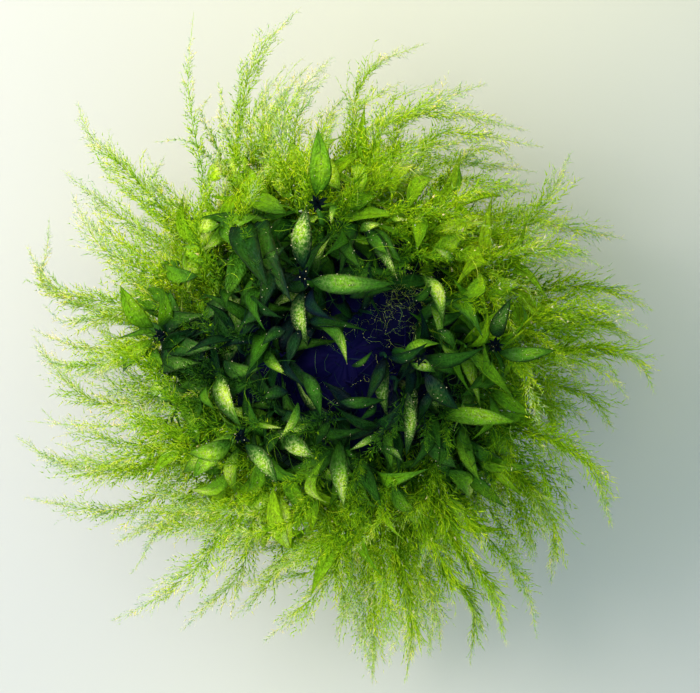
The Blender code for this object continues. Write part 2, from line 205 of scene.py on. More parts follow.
def off_tangle(p, clear):
    """The point p, moved straight out of the tangle until it is clear mm off its skin."""
    c = np.array(TANGLE_CENTRE)
    d = p - c
    far = float(np.linalg.norm(d))
    d = d / far
    need = tangle_reach(d) + clear
    return c + d * need if far < need else p


def on_skin(p, clear):
    """The point clear mm off the tangle's skin, in the direction of p from its centre."""
    c = np.array(TANGLE_CENTRE)
    d = (p - c) / np.linalg.norm(p - c)
    return c + d * (tangle_reach(d) + clear)


def smooth_route(points, count):
    """count points at even spacing on a smooth curve through the given ones."""
    pts = [np.array(p, float) for p in points]
    pts = [2 * pts[0] - pts[1]] + pts + [2 * pts[-1] - pts[-2]]
    fine = []
    for a, b, c, d in zip(pts, pts[1:], pts[2:], pts[3:]):
        for i in range(24):
            t = i / 24
            fine.append(0.5 * (2 * b + (c - a) * t + (2 * a - 5 * b + 4 * c - d) * t * t + (3 * b - a - 3 * c + d) * t**3))
    fine.append(pts[-2])
    fine = np.array(fine)
    along = np.concatenate([[0.0], np.cumsum(np.linalg.norm(np.diff(fine, axis=0), axis=1))])
    want = np.linspace(0.0, along[-1], count)
    return np.column_stack([np.interp(want, along, fine[:, k]) for k in range(3)])


def frond_radius(t, girth):
    """A frond's radius in mm at t of its length: a slim root, fullest at two fifths, then a long taper."""
    swell = math.sin(math.pi * t**0.76) ** 0.8 if 0 < t < 1 else 0.0
    ends = FROND_ROOT + (FROND_TIP - FROND_ROOT) * t
    return ends + (girth - ends) * swell if girth > ends else ends


def leaf_width(t, width):
    """A leaf's width in mm at t of its length: narrow at the base, broad below the middle, pointed at the tip."""
    form = (t + 0.06) ** 0.62 * (1.0 - t) ** 0.85 / 0.405
    return 0.16 + (width - 0.16) * min(1.0, form)


def leaf_grid(base, tip, width, rise, roll):
    """Rows of points in mm across a keeled blade from base to tip, LEAF_ROWS + 1 rows of three."""
    along = tip - base
    length = float(np.linalg.norm(along))
    along = along / length
    side = np.cross(along, (0.0, 0.0, 1.0))
    side /= np.linalg.norm(side)
    up = np.cross(side, along)
    a = math.radians(roll)
    side, up = side * math.cos(a) + up * math.sin(a), up * math.cos(a) - side * math.sin(a)
    rows = []
    for i in range(LEAF_ROWS + 1):
        t = i / LEAF_ROWS
        half = leaf_width(t, width) / 2
        mid = base + along * length * t + up * rise * math.sin(math.pi * t**0.85)
        rows.append([mid + side * half * s + up * half * 0.32 * abs(s) for s in (-1.0, 0.0, 1.0)])
    return np.array(rows)


def too_near(points, radii, placed):
    """Whether any ball of the new piece comes within GAP of a ball already placed."""
    for other, other_radii in placed:
        apart = np.linalg.norm(points[:, None] - other[None], axis=2)
        if (apart < radii[:, None] + other_radii[None] + GAP).any():
            return True
    return False


def lifts(step, most):
    """0, then steps up and down in turn."""
    yield 0.0
    n = 1
    while n * step <= most:
        yield n * step
        yield -n * step
        n += 1


def lay_out():
    """Routes of stems and fronds, and grids of leaves with their base, tip and form, in mm, as the solids have them."""
    placed, stems, leaves, fronds = [], {}, {}, {}
    for name, route in STEMS:
        pts = [plan(*p) for p in route]
        pts[0] = on_skin(pts[0], GAP + 0.30)
        pts = smooth_route(pts, 7)
        stems[name] = (pts, np.linspace(0.34, 0.22, len(pts)))
        placed.append((smooth_route(pts, 16), np.linspace(0.34, 0.22, 16)))
    for name, base, tip, width, rise, roll in LEAVES:
        for dz in lifts(0.15, 3.0):
            b, t = plan(*base), plan(*tip)
            t[2] += dz
            b[2] += 0.4 * dz
            b, t = off_tangle(b, 0.5), off_tangle(t, 0.7)
            grid = leaf_grid(b, t, width, rise, roll)
            fine = np.concatenate([grid.reshape(-1, 3), ((grid[:, :-1] + grid[:, 1:]) / 2).reshape(-1, 3), ((grid[:-1] + grid[1:]) / 2).reshape(-1, 3)])
            c = np.array(TANGLE_CENTRE)
            d = fine - c
            far = np.linalg.norm(d, axis=1)
            skin = np.array([tangle_reach(v / f) for v, f in zip(d, far)])
            clear = (far - skin > GAP + LEAF_THICKNESS / 2).all()
            if clear and not too_near(fine, np.full(len(fine), LEAF_THICKNESS / 2 + 0.06), placed):
                break
        leaves[name] = (b, t, width, rise, roll)
        placed.append((fine, np.full(len(fine), LEAF_THICKNESS / 2 + 0.06)))
    for name, route, girth in FRONDS:
        for dz in lifts(0.2, 4.0):
            pts = [plan(*p) for p in route]
            pts[0] = on_skin(pts[0], GAP + FROND_ROOT)
            for p in pts[1:]:
                p[2] += dz
            pts = smooth_route(pts, FROND_POINTS)
            radii = np.array([frond_radius(i / (FROND_POINTS - 1), girth) for i in range(FROND_POINTS)])
            pts = np.array([off_tangle(p, GAP + r) for p, r in zip(pts, radii)])
            if pts[:, 2].min() < girth + 0.6:
                continue
            fine = smooth_route(pts, 48)
            fine_radii = np.interp(np.linspace(0, 1, 48), np.linspace(0, 1, FROND_POINTS), radii)
            if not too_near(fine, fine_radii, placed):
                break
        fronds[name] = (pts, radii)
        placed.append((fine, fine_radii))
    return stems, leaves, fronds


# ---------------------------------------------------------------- mesh making


def unit(a):
    return a / np.maximum(np.linalg.norm(a, axis=-1, keepdims=True), 1e-12)


class Heap:
    """Many small closed shapes, joined into one mesh.

    Each point carries tint, its tone (0 deep inside, 1 a pale tip) and its shade (0 dull, 1 bright).
    place is its own spot on a leaf: across, and along in leaf widths. spot is a map with no two leaves on one another.
    lit says how strongly a leaf is speckled at each point by its painted highlight.
    """

    def __init__(self):
        self.points, self.faces, self.tint, self.place, self.spot, self.lit, self.count = [], [], [], [], [], [], 0

    def add(self, points, faces, tint, place=None, spot=None, lit=None):
        points = points.reshape(-1, 3)
        self.points.append(points)
        self.tint.append(np.clip(tint.reshape(-1, 2), 0.003, 0.997))
        self.place.append(np.zeros((len(points), 2)) if place is None else place.reshape(-1, 2))
        self.spot.append(self.tint[-1] if spot is None else spot.reshape(-1, 2))
        self.lit.append(np.zeros((len(points), 2)) if lit is None else lit.reshape(-1, 2))
        self.faces.append(faces + self.count)
        self.count += len(points)

    def strands(self, centres, radii, side, tone, shade, sides=3, flat=1.0):
        """Tapered closed strands. centres (N, K+1, 3) run from root to tip, radii (N, K) are for all but the tip, side (N, 3) is the broad way, tone (N, K+1), shade (N,)."""
        n, k1, _ = centres.shape
        k = k1 - 1
        if not n:
            return
        along = np.empty_like(centres)
        along[:, 1:-1] = centres[:, 2:] - centres[:, :-2]
        along[:, 0] = centres[:, 1] - centres[:, 0]
        along[:, -1] = centres[:, -1] - centres[:, -2]
        along = unit(along)[:, :k]
        across = unit(side[:, None] - (side[:, None] * along).sum(-1, keepdims=True) * along)
        over = np.cross(along, across)
        turn = 2 * np.pi * np.arange(sides) / sides
        ring = across[:, :, None] * np.cos(turn)[:, None] + over[:, :, None] * (flat * np.sin(turn))[:, None]
        ring = centres[:, :k, None] + ring * radii[:, :, None, None]
        points = np.concatenate([ring.reshape(n, k * sides, 3), centres[:, -1:]], axis=1)
        u = np.concatenate([np.repeat(tone[:, :k], sides, axis=1), tone[:, -1:]], axis=1)
        wide = np.concatenate([np.tile(np.cos(turn) * 0.012, k), [0.0]])
        tint = np.stack([u, shade[:, None] + wide[None]], axis=-1)
        quads = []
        for j in range(k - 1):
            for a in range(sides):
                b = (a + 1) % sides
                quads += [(j * sides + a, j * sides + b, (j + 1) * sides + b), (j * sides + a, (j + 1) * sides + b, (j + 1) * sides + a)]
        last = (k - 1) * sides
        quads += [(last + a, last + (a + 1) % sides, k * sides) for a in range(sides)]
        quads += [(0, a + 1, a) for a in range(1, sides - 1)]
        per = k * sides + 1
        faces = np.array(quads)[None] + (np.arange(n) * per)[:, None, None]
        self.add(points, faces.reshape(-1, 3), tint)

    def spikes(self, base, tip, side, width, tone, shade, flat=0.35):
        """Leaflets with no bend: flat closed points, broad at the base. base, tip, side (N, 3); width, tone, shade (N,)."""
        if not len(base):
            return
        middle = base + (tip - base) * 0.38
        centres = np.stack([middle - (middle - base) * 0.9, tip], axis=1)
        self.strands(centres, (width / 2)[:, None], side, np.stack([tone, tone + 0.10], axis=1), shade, sides=3, flat=flat)

    def blades(self, base, tip, normal, width, rise, tone, shade, rows=12, keel=0.35, bend=None, hook=None, thick=0.05, twist=None, wave=0.0, form=(0.75, 1.25), glow=None, lit_at=None, glints=0.0):
        """Thin closed pointed leaves. base, tip, normal (N, 3); width, rise, tone, shade (N,); bend (N,) is a sideways
        bow in mm, hook (N,) how far the tip curls towards normal, twist (N,) in radians from base to tip, glow (N,) how
        much paler the painted highlight on its outer half is.
        """
        n = len(base)
        if not n:
            return
        cols = np.array([-1.0, -0.55, 0.0, 0.55, 1.0])
        c, r = len(cols), rows + 1
        t = np.linspace(0.0, 1.0, r)
        along = tip - base
        length = np.linalg.norm(along, axis=1, keepdims=True)
        along = along / length
        side = unit(np.cross(along, normal))
        up = np.cross(side, along)
        bend = np.zeros(n) if bend is None else bend
        hook = np.zeros(n) if hook is None else hook
        twist = np.zeros(n) if twist is None else twist
        angle = twist[:, None] * (t[None] - 0.3)
        side_t = side[:, None] * np.cos(angle)[..., None] + up[:, None] * np.sin(angle)[..., None]
        up_t = up[:, None] * np.cos(angle)[..., None] - side[:, None] * np.sin(angle)[..., None]
        peak = form[0] / (form[0] + form[1])
        most = peak ** form[0] * (1 - peak) ** form[1]
        shape = (np.maximum(t, 0.012) ** form[0] * (1.0 - t) ** form[1]) / most
        half = (0.06 + (width[:, None] - 0.06) * shape[None]) / 2
        half = half * (1 - 0.75 * np.clip((t - 0.9) / 0.1, 0, 1))[None]
        arch = np.sin(np.pi * t**0.85)
        mid = base[:, None] + along[:, None] * (length * t[None])[..., None]
        mid = mid + up[:, None] * (rise[:, None] * arch[None] + hook[:, None] * (t**3)[None])[..., None] + side[:, None] * (bend[:, None] * arch[None])[..., None]
        lift = keel * np.abs(cols) ** 1.7
        ripple = wave * np.sin(9.0 * t[None, :, None] + 2.3 * cols[None, None] + 17.0 * shade[:, None, None]) * np.abs(cols)[None, None]
        row = mid[:, :, None] + side_t[:, :, None] * (half[..., None] * cols)[..., None] + up_t[:, :, None] * (half[..., None] * (lift + ripple))[..., None]
        body = thick * (0.4 + 0.6 * (1 - np.abs(cols) ** 2)) * np.maximum(0.3, np.sqrt(1 - 0.9 * t))[:, None]
        top = row + up_t[:, :, None] * (body / 2)[None, :, :, None]
        bottom = row - up_t[:, :, None] * (body / 2)[None, :, :, None]
        points = np.concatenate([top.reshape(n, -1, 3), bottom.reshape(n, -1, 3)], axis=1)
        glow = np.full(n, 0.10) if glow is None else glow
        seed = 40.0 * shade[:, None, None] + 9.0 * tone[:, None, None]
        lit_at = 0.60 + 0.18 * np.sin(seed * 3.1) if lit_at is None else lit_at[:, None, None]
        lit_side = 0.32 * np.sin(seed * 5.3)
        pale = np.exp(-(((t[None, :, None] - lit_at) / 0.24) ** 2) - ((cols[None, None] - lit_side) / 0.70) ** 2)
        patch = 0.05 * np.sin(5.0 * t[None, :, None] * (length / width[:, None])[:, None] * 0.35 + 2 * seed) * np.cos(2.4 * cols[None, None] + seed)
        # tone: paler by glow on the lit patch, a painted highlight, and darker towards the base, painted shade where
        # the leaves meet
        u = tone[:, None, None] + glow[:, None, None] * pale + patch - 0.12 * np.clip(1 - t / 0.30, 0, 1)[None, :, None]
        v = shade[:, None, None] + 0.0 * cols[None, None] + 0.0 * t[None, :, None]
        tint = np.stack([u, v], axis=-1).reshape(n, -1, 2)
        across = np.broadcast_to(((cols + 1) / 2)[None, None], (n, r, c)).reshape(n, -1)
        down = np.broadcast_to(t[None, :, None], (n, r, c)).reshape(n, -1)
        place = np.stack([across, down * (length / width[:, None])], axis=-1)
        grid = int(math.ceil(math.sqrt(2 * n)))
        tall = int(math.ceil(2 * n / grid))
        cell = np.arange(2 * n)
        corner = np.stack([cell % grid, cell // grid], axis=-1)[:, None]
        own = np.stack([across, down], axis=-1)
        own = np.concatenate([own, own])
        spot = (corner + 0.06 + 0.88 * own) / np.array([grid, tall])
        spot = np.concatenate([spot[:n], spot[n:]], axis=1)
        f, m = [], r * c

        def quad(a, b, d, e):
            f.extend([(a, b, d), (a, d, e)])

        for i in range(rows):
            for j in range(c - 1):
                a, b = i * c + j, i * c + j + 1
                quad(a, b, b + c, a + c)
                quad(m + a, m + a + c, m + b + c, m + b)
        for i in range(rows):
            a = i * c
            quad(a, a + c, m + a + c, m + a)
            b = i * c + c - 1
            quad(b, m + b, m + b + c, b + c)
        for j in range(c - 1):
            quad(j, m + j, m + j + 1, j + 1)
            e = rows * c + j
            quad(e, e + 1, m + e + 1, m + e)
        faces = np.array(f)[None] + (np.arange(n) * 2 * m)[:, None, None]
        lit = (2.4 * np.maximum(glow - 0.12, 0)[:, None, None] * pale).reshape(n, -1)
        lit = np.stack([lit, lit], axis=-1)
        self.add(points, faces.reshape(-1, 3), np.concatenate([tint, tint], axis=1), np.concatenate([place, place], axis=1), spot, np.concatenate([lit, lit], axis=1))
        # tiny near-white beads that sit on the lit patches, painted glints, each inside its own corner of the map
        chance = 1.6 * glints * glow[:, None, None] * pale + 0.014 * glints
        roll = np.abs(np.modf(np.sin(np.arange(chance.size) * 12.9898 + 4.1) * 43758.5453)[0]).reshape(chance.shape)
        chosen = np.argwhere(roll < chance)
        if len(chosen):
            at = top[chosen[:, 0], chosen[:, 1], chosen[:, 2]] + up_t[chosen[:, 0], chosen[:, 1]] * 0.012
            radius = 0.018 + 0.022 * roll[chosen[:, 0], chosen[:, 1], chosen[:, 2]] / np.maximum(chance[chosen[:, 0], chosen[:, 1], chosen[:, 2]], 1e-9)
            corners = np.array([(1, 0, 0), (-1, 0, 0), (0, 1, 0), (0, -1, 0), (0, 0, 1), (0, 0, -1)], float)
            gems = at[:, None] + corners[None] * radius[:, None, None]
            sides = np.array([(0, 2, 4), (2, 1, 4), (1, 3, 4), (3, 0, 4), (2, 0, 5), (1, 2, 5), (3, 1, 5), (0, 3, 5)])
            gem_tint = np.broadcast_to(np.array([0.99, 0.80]), (len(at), 6, 2))
            home = ((chosen[:, 0:1] % grid) + 0.02) / grid, ((chosen[:, 0:1] // grid) + 0.02) / tall
            gem_spot = np.stack([np.broadcast_to(h, (len(at), 6)) for h in home], axis=-1) + 0.01 / grid * (corners[None, :, :2] + 1)
            self.add(gems, (sides[None] + (np.arange(len(at)) * 6)[:, None, None]).reshape(-1, 3), gem_tint, np.broadcast_to(np.array([0.5, 0.5]), (len(at), 6, 2)), gem_spot)

    def mesh(self, name, material, slot, *nodes):
        """The heap as one object that rides on the ball and stands for these solids."""
        points = np.concatenate(self.points)
        points[:, 2] = np.maximum(points[:, 2], 0.0)
        faces = np.concatenate(self.faces).astype(np.int32)
        data = bpy.data.meshes.new(name)
        data.vertices.add(len(points))
        data.vertices.foreach_set("co", (points * MM).astype(np.float32).ravel())
        data.loops.add(faces.size)
        data.loops.foreach_set("vertex_index", faces.ravel())
        data.polygons.add(len(faces))
        data.polygons.foreach_set("loop_start", np.arange(len(faces), dtype=np.int32) * 3)
        maps = [("OFBake", self.spot), ("tint", self.tint)]
        if material == blade_look:
            maps += [("place", self.place), ("lit", self.lit)]
        for title, rows in maps:
            rows = np.concatenate(rows)
            if title == "OFBake":
                low, high = rows.min(axis=0), rows.max(axis=0)
                rows = 0.02 + 0.96 * (rows - low) / np.maximum(high - low, 1e-6)
            layer = data.uv_layers.new(name=title)
            layer.uv.foreach_set("vector", rows[faces.ravel()].astype(np.float32).ravel())
        data.polygons.foreach_set("use_smooth", np.ones(len(faces), dtype=bool))
        data.update(calc_edges=True)
        data.materials.append(material)
        obj = bpy.data.objects.new(name, data)
        scene.collection.objects.link(obj)
        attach(obj, "root")
        if nodes:
            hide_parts(*nodes)
        return obj


# ---------------------------------------------------------------- materials


def node(tree, kind, **values):
    made = tree.nodes.new(kind)
    for key, value in values.items():
        setattr(made, key, value)
    return made


def ramp(tree, stops):
    made = tree.nodes.new("ShaderNodeValToRGB")
    elements = made.color_ramp.elements
    while len(elements) < len(stops):
        elements.new(0.5)
    for element, (place, colour) in zip(elements, stops):
        element.position = place
        element.color = (*colour, 1.0)
    return made


# Tones of the greens: the lowest stop is navy-black, painted shade, and the top one near white, for painted glints
GREENS = [
    (0.00, (0.0030, 0.0035, 0.0260)),
    (0.12, (0.0040, 0.0210, 0.0250)),
    (0.28, (0.0160, 0.0880, 0.0085)),
    (0.45, (0.0760, 0.2600, 0.0130)),
    (0.60, (0.2240, 0.5060, 0.0080)),
    (0.74, (0.4700, 0.7700, 0.0090)),
    (0.86, (0.6600, 0.9150, 0.0300)),
    (0.94, (0.7200, 0.9100, 0.2300)),
    (1.00, (0.9500, 0.9700, 0.8000)),
]
# Tones of the tangle: navy-black at the bottom, painted shade for its deep gaps, then dark greens and pale threads
DEEPS = [
    (0.00, (0.0040, 0.0020, 0.0440)),
    (0.20, (0.0055, 0.0065, 0.0480)),
    (0.40, (0.0100, 0.0330, 0.0200)),
    (0.65, (0.0640, 0.1720, 0.0190)),
    (0.85, (0.3300, 0.5200, 0.1500)),
    (1.00, (0.8200, 0.9000, 0.7000)),
]


def moss_material(name, stops, roughness, through, low, high, gloss=0.4):
    """Thin living plant: colour by tone and shade, finely mottled, with part of the light passing through."""
    material = bpy.data.materials.new(name)
    material.use_nodes = True
    tree = material.node_tree
    link = tree.links.new
    shader = tree.nodes["Principled BSDF"]
    out = tree.nodes["Material Output"]
    uv = node(tree, "ShaderNodeUVMap", uv_map="tint")
    split = node(tree, "ShaderNodeSeparateXYZ")
    link(uv.outputs["UV"], split.inputs[0])
    colour = ramp(tree, stops)
    link(split.outputs["X"], colour.inputs["Fac"])
    level = node(tree, "ShaderNodeMapRange")
    level.inputs["To Min"].default_value = low
    level.inputs["To Max"].default_value = high
    link(split.outputs["Y"], level.inputs["Value"])
    noise = node(tree, "ShaderNodeTexNoise")
    noise.inputs["Scale"].default_value = 55.0
    noise.inputs["Detail"].default_value = 3.0
    link(uv.outputs["UV"], noise.inputs["Vector"])
    mottle = node(tree, "ShaderNodeMapRange")
    mottle.inputs["From Min"].default_value = 0.3
    mottle.inputs["From Max"].default_value = 0.7
    mottle.inputs["To Min"].default_value = 0.80
    mottle.inputs["To Max"].default_value = 1.20
    link(noise.outputs["Fac"], mottle.inputs["Value"])
    both = node(tree, "ShaderNodeMath", operation="MULTIPLY")
    link(level.outputs["Result"], both.inputs[0])
    link(mottle.outputs["Result"], both.inputs[1])
    warmth = ramp(tree, [(0.0, (0.80, 0.98, 1.35)), (0.35, (0.92, 1.0, 1.10)), (0.60, (1.04, 1.0, 0.95)), (1.0, (1.28, 1.0, 0.80))])
    link(split.outputs["Y"], warmth.inputs["Fac"])
    hued = node(tree, "ShaderNodeVectorMath", operation="MULTIPLY")
    link(colour.outputs["Color"], hued.inputs[0])
    link(warmth.outputs["Color"], hued.inputs[1])
    scaled = node(tree, "ShaderNodeVectorMath", operation="SCALE")
    link(hued.outputs[0], scaled.inputs[0])
    link(both.outputs[0], scaled.inputs["Scale"])
    link(scaled.outputs[0], shader.inputs["Base Color"])
    shader.inputs["Roughness"].default_value = roughness
    shader.inputs["Specular IOR Level"].default_value = gloss
    back = node(tree, "ShaderNodeBsdfTranslucent")
    link(scaled.outputs[0], back.inputs["Color"])
    mix = node(tree, "ShaderNodeMixShader")
    mix.inputs["Fac"].default_value = through
    link(shader.outputs[0], mix.inputs[1])
    link(back.outputs[0], mix.inputs[2])
    link(mix.outputs[0], out.inputs["Surface"])
    return material, tree, scaled, shader, back


def leaf_material(name):
    """A wet, glossy leaf: cells in rows, darker edges, and pale specks painted where it is lit, a painted highlight."""
    material, tree, scaled, shader, back = moss_material(name, GREENS, 0.30, 0.30, 0.82, 1.26, 0.08)
    link = tree.links.new
    own = node(tree, "ShaderNodeUVMap", uv_map="place")
    stretch = node(tree, "ShaderNodeMapping")
    stretch.inputs["Scale"].default_value = (9.0, 6.5, 1.0)
    link(own.outputs["UV"], stretch.inputs["Vector"])
    cells = node(tree, "ShaderNodeTexVoronoi", feature="F1")
    cells.inputs["Scale"].default_value = 1.0
    link(stretch.outputs["Vector"], cells.inputs["Vector"])
    dome_ = node(tree, "ShaderNodeMapRange")
    dome_.inputs["From Max"].default_value = 0.7
    dome_.inputs["To Min"].default_value = 1.0
    dome_.inputs["To Max"].default_value = 0.0
    link(cells.outputs["Distance"], dome_.inputs["Value"])
    bump = node(tree, "ShaderNodeBump")
    bump.inputs["Strength"].default_value = 1.0
    bump.inputs["Distance"].default_value = 0.00006
    link(dome_.outputs["Result"], bump.inputs["Height"])
    link(bump.outputs["Normal"], shader.inputs["Normal"])
    split = node(tree, "ShaderNodeSeparateXYZ")
    link(own.outputs["UV"], split.inputs[0])
    off = node(tree, "ShaderNodeMath", operation="SUBTRACT")
    off.inputs[1].default_value = 0.5
    link(split.outputs["X"], off.inputs[0])
    dist = node(tree, "ShaderNodeMath", operation="ABSOLUTE")
    link(off.outputs[0], dist.inputs[0])
    rib = ramp(tree, [(0.0, (0.82, 0.82, 0.82)), (0.05, (1.06, 1.06, 1.06)), (0.14, (1.0, 1.0, 1.0)), (0.28, (0.92, 0.92, 0.92)), (0.40, (0.62, 0.62, 0.62)), (0.5, (0.30, 0.30, 0.30))])
    link(dist.outputs[0], rib.inputs["Fac"])
    thin_rib = ramp(tree, [(0.0, (0.78, 0.78, 0.78)), (0.03, (0.88, 0.88, 0.88)), (0.07, (1.06, 1.06, 1.06)), (0.40, (1.0, 1.0, 1.0)), (0.46, (0.84, 0.80, 0.80)), (0.5, (0.48, 0.44, 0.50))])
    link(dist.outputs[0], thin_rib.inputs["Fac"])
    pale_rib = ramp(tree, [(0.0, (0.86, 0.86, 0.86)), (0.30, (1.0, 1.0, 1.0)), (0.40, (1.25, 1.25, 1.3)), (0.47, (2.1, 1.9, 2.6)), (0.5, (1.8, 1.7, 2.4))])
    link(dist.outputs[0], pale_rib.inputs["Fac"])
    tint = node(tree, "ShaderNodeUVMap", uv_map="tint")
    tint_split = node(tree, "ShaderNodeSeparateXYZ")
    link(tint.outputs["UV"], tint_split.inputs[0])
    which = node(tree, "ShaderNodeMapRange")
    which.inputs["From Min"].default_value = 0.86
    which.inputs["From Max"].default_value = 0.88
    link(tint_split.outputs["Y"], which.inputs["Value"])
    thin = node(tree, "ShaderNodeMapRange")
    thin.inputs["From Min"].default_value = 0.38
    thin.inputs["From Max"].default_value = 0.52
    link(tint_split.outputs["X"], thin.inputs["Value"])
    dark_rims = node(tree, "ShaderNodeMix", data_type="RGBA")
    link(thin.outputs["Result"], dark_rims.inputs[0])
    link(rib.outputs["Color"], dark_rims.inputs[6])
    link(thin_rib.outputs["Color"], dark_rims.inputs[7])
    rims = node(tree, "ShaderNodeMix", data_type="RGBA")
    link(which.outputs["Result"], rims.inputs[0])
    link(dark_rims.outputs[2], rims.inputs[6])
    link(pale_rib.outputs["Color"], rims.inputs[7])
    cell_shade = node(tree, "ShaderNodeMapRange")
    cell_shade.inputs["To Min"].default_value = 0.80
    cell_shade.inputs["To Max"].default_value = 1.10
    link(dome_.outputs["Result"], cell_shade.inputs["Value"])
    blotch = node(tree, "ShaderNodeTexNoise")
    blotch.inputs["Scale"].default_value = 3.2
    blotch.inputs["Detail"].default_value = 4.0
    blotch.inputs["Roughness"].default_value = 0.78
    link(own.outputs["UV"], blotch.inputs["Vector"])
    blotched = node(tree, "ShaderNodeMapRange")
    blotched.inputs["From Min"].default_value = 0.34
    blotched.inputs["From Max"].default_value = 0.66
    blotched.inputs["To Min"].default_value = 0.60
    blotched.inputs["To Max"].default_value = 1.38
    link(blotch.outputs["Fac"], blotched.inputs["Value"])
    grain = node(tree, "ShaderNodeMath", operation="MULTIPLY")
    link(cell_shade.outputs["Result"], grain.inputs[0])
    link(blotched.outputs["Result"], grain.inputs[1])
    both = node(tree, "ShaderNodeVectorMath", operation="SCALE")
    link(rims.outputs[2], both.inputs[0])
    link(grain.outputs[0], both.inputs["Scale"])
    again = node(tree, "ShaderNodeVectorMath", operation="MULTIPLY")
    link(scaled.outputs[0], again.inputs[0])
    link(both.outputs[0], again.inputs[1])
    # pale mottling where the tone is high, driven by the lit map: a painted highlight
    lit = node(tree, "ShaderNodeUVMap", uv_map="lit")
    lit_split = node(tree, "ShaderNodeSeparateXYZ")
    link(lit.outputs["UV"], lit_split.inputs[0])
    spots = node(tree, "ShaderNodeTexNoise")
    spots.inputs["Scale"].default_value = 6.0
    spots.inputs["Detail"].default_value = 5.0
    spots.inputs["Roughness"].default_value = 0.62
    link(own.outputs["UV"], spots.inputs["Vector"])
    spot = node(tree, "ShaderNodeMapRange")
    spot.inputs["From Min"].default_value = 0.46
    spot.inputs["From Max"].default_value = 0.60
    spot.inputs["To Max"].default_value = 1.35
    link(spots.outputs["Fac"], spot.inputs["Value"])
    amount = node(tree, "ShaderNodeMath", operation="MULTIPLY")
    amount.use_clamp = True
    link(lit_split.outputs["X"], amount.inputs[0])
    link(spot.outputs["Result"], amount.inputs[1])
    speck = node(tree, "ShaderNodeMix", data_type="RGBA")
    speck.inputs[7].default_value = (0.88, 0.97, 0.36, 1.0)
    link(amount.outputs[0], speck.inputs[0])
    link(again.outputs[0], speck.inputs[6])
    link(speck.outputs[2], shader.inputs["Base Color"])
    link(speck.outputs[2], back.inputs["Color"])
    shader.inputs["Coat Weight"].default_value = 0.025
    shader.inputs["Coat Roughness"].default_value = 0.12
    return material


frond_look = moss_material("frond", GREENS, 0.45, 0.35, 0.82, 1.18, 0.10)[0]
stem_look = moss_material("stem", GREENS, 0.35, 0.15, 0.70, 1.30, 0.12)[0]
tangle_look = moss_material("tangle", DEEPS, 0.70, 0.05, 0.60, 1.40, 0.04)[0]
blade_look = leaf_material("leaf")

floor_material = bpy.data.materials.new("floor")
floor_material.use_nodes = True
floor_shader = floor_material.node_tree.nodes["Principled BSDF"]
floor_shader.inputs["Base Color"].default_value = (0.612, 0.606, 0.616, 1.0)
floor_shader.inputs["Roughness"].default_value = 0.8
floor_shader.inputs["Specular IOR Level"].default_value = 0.2
bpy.ops.mesh.primitive_plane_add(size=6.0)
floor = bpy.context.object
floor.name = "floor"
floor.data.materials.append(floor_material)

# ---------------------------------------------------------------- fronds

CENTRE = np.array(TANGLE_CENTRE)


# painted shade and painted light on the crown, where it is darker or lighter than its ring: middle on the plan, reach,
# by how much
SHADE_AND_LIGHT_PATCHES = [(275, 272, 32, -0.09), (180, 365, 36, -0.08), (432, 420, 34, -0.09), (270, 522, 34, 0.13), (425, 222, 32, 0.08), (455, 172, 32, 0.08), (292, 522, 24, 0.07), (225, 172, 34, 0.09), (450, 515, 32, 0.06), (345, 568, 60, 0.05), (222, 470, 26, -0.03),
           (322, 474, 26, 0.09), (218, 275, 24, 0.12), (222, 418, 24, 0.08), (214, 345, 24, -0.08), (188, 334, 26, -0.09), (258, 252, 26, -0.08), (380, 188, 24, 0.05), (172, 425, 30, 0.07), (425, 274, 20, 0.08), (425, 520, 24, 0.06), (475, 385, 26, -0.05), (482, 462, 28, -0.09)]


def ring_tone(p):
    """The tone of a leaf at these points: partly its own colour, partly painted: painted shade darkens it over the
    middle, painted light makes it yellow-green where the crown thins out, and painted light and shade vary it by side
    and in patches.
    """
    far = np.hypot(p[..., 0], p[..., 1] + 0.3) / SHEET_UNIT
    turn = np.degrees(np.arctan2(p[..., 1] + 0.3, p[..., 0])) % 360
    # by side: painted light where the lamp leaves the crown in shade, painted shade where it lights it; then the listed
    # patches of painted light and shade
    side_light_and_shade = sum(amount * np.exp(-(((turn - middle + 180) % 360 - 180) / width) ** 2) for middle, width, amount in ((5, 30, 0.09), (32, 22, 0.08), (66, 26, 0.10), (180, 22, -0.18), (222, 18, 0.04), (250, 22, 0.06), (300, 14, 0.02), (320, 24, -0.03)))
    shade_and_light_spots = sum(amount * np.exp(-((p[..., 0] - (u - SHEET_CENTRE[0]) * SHEET_UNIT) ** 2 + (p[..., 1] - (SHEET_CENTRE[1] - v) * SHEET_UNIT) ** 2) / (reach * SHEET_UNIT) ** 2) for u, v, reach, amount in SHADE_AND_LIGHT_PATCHES)
    return np.interp(far, [50, 90, 125, 160, 195, 230], [0.22, 0.31, 0.42, 0.56, 0.66, 0.71]) + side_light_and_shade * np.clip((far - 75) / 50, 0, 1) + shade_and_light_spots


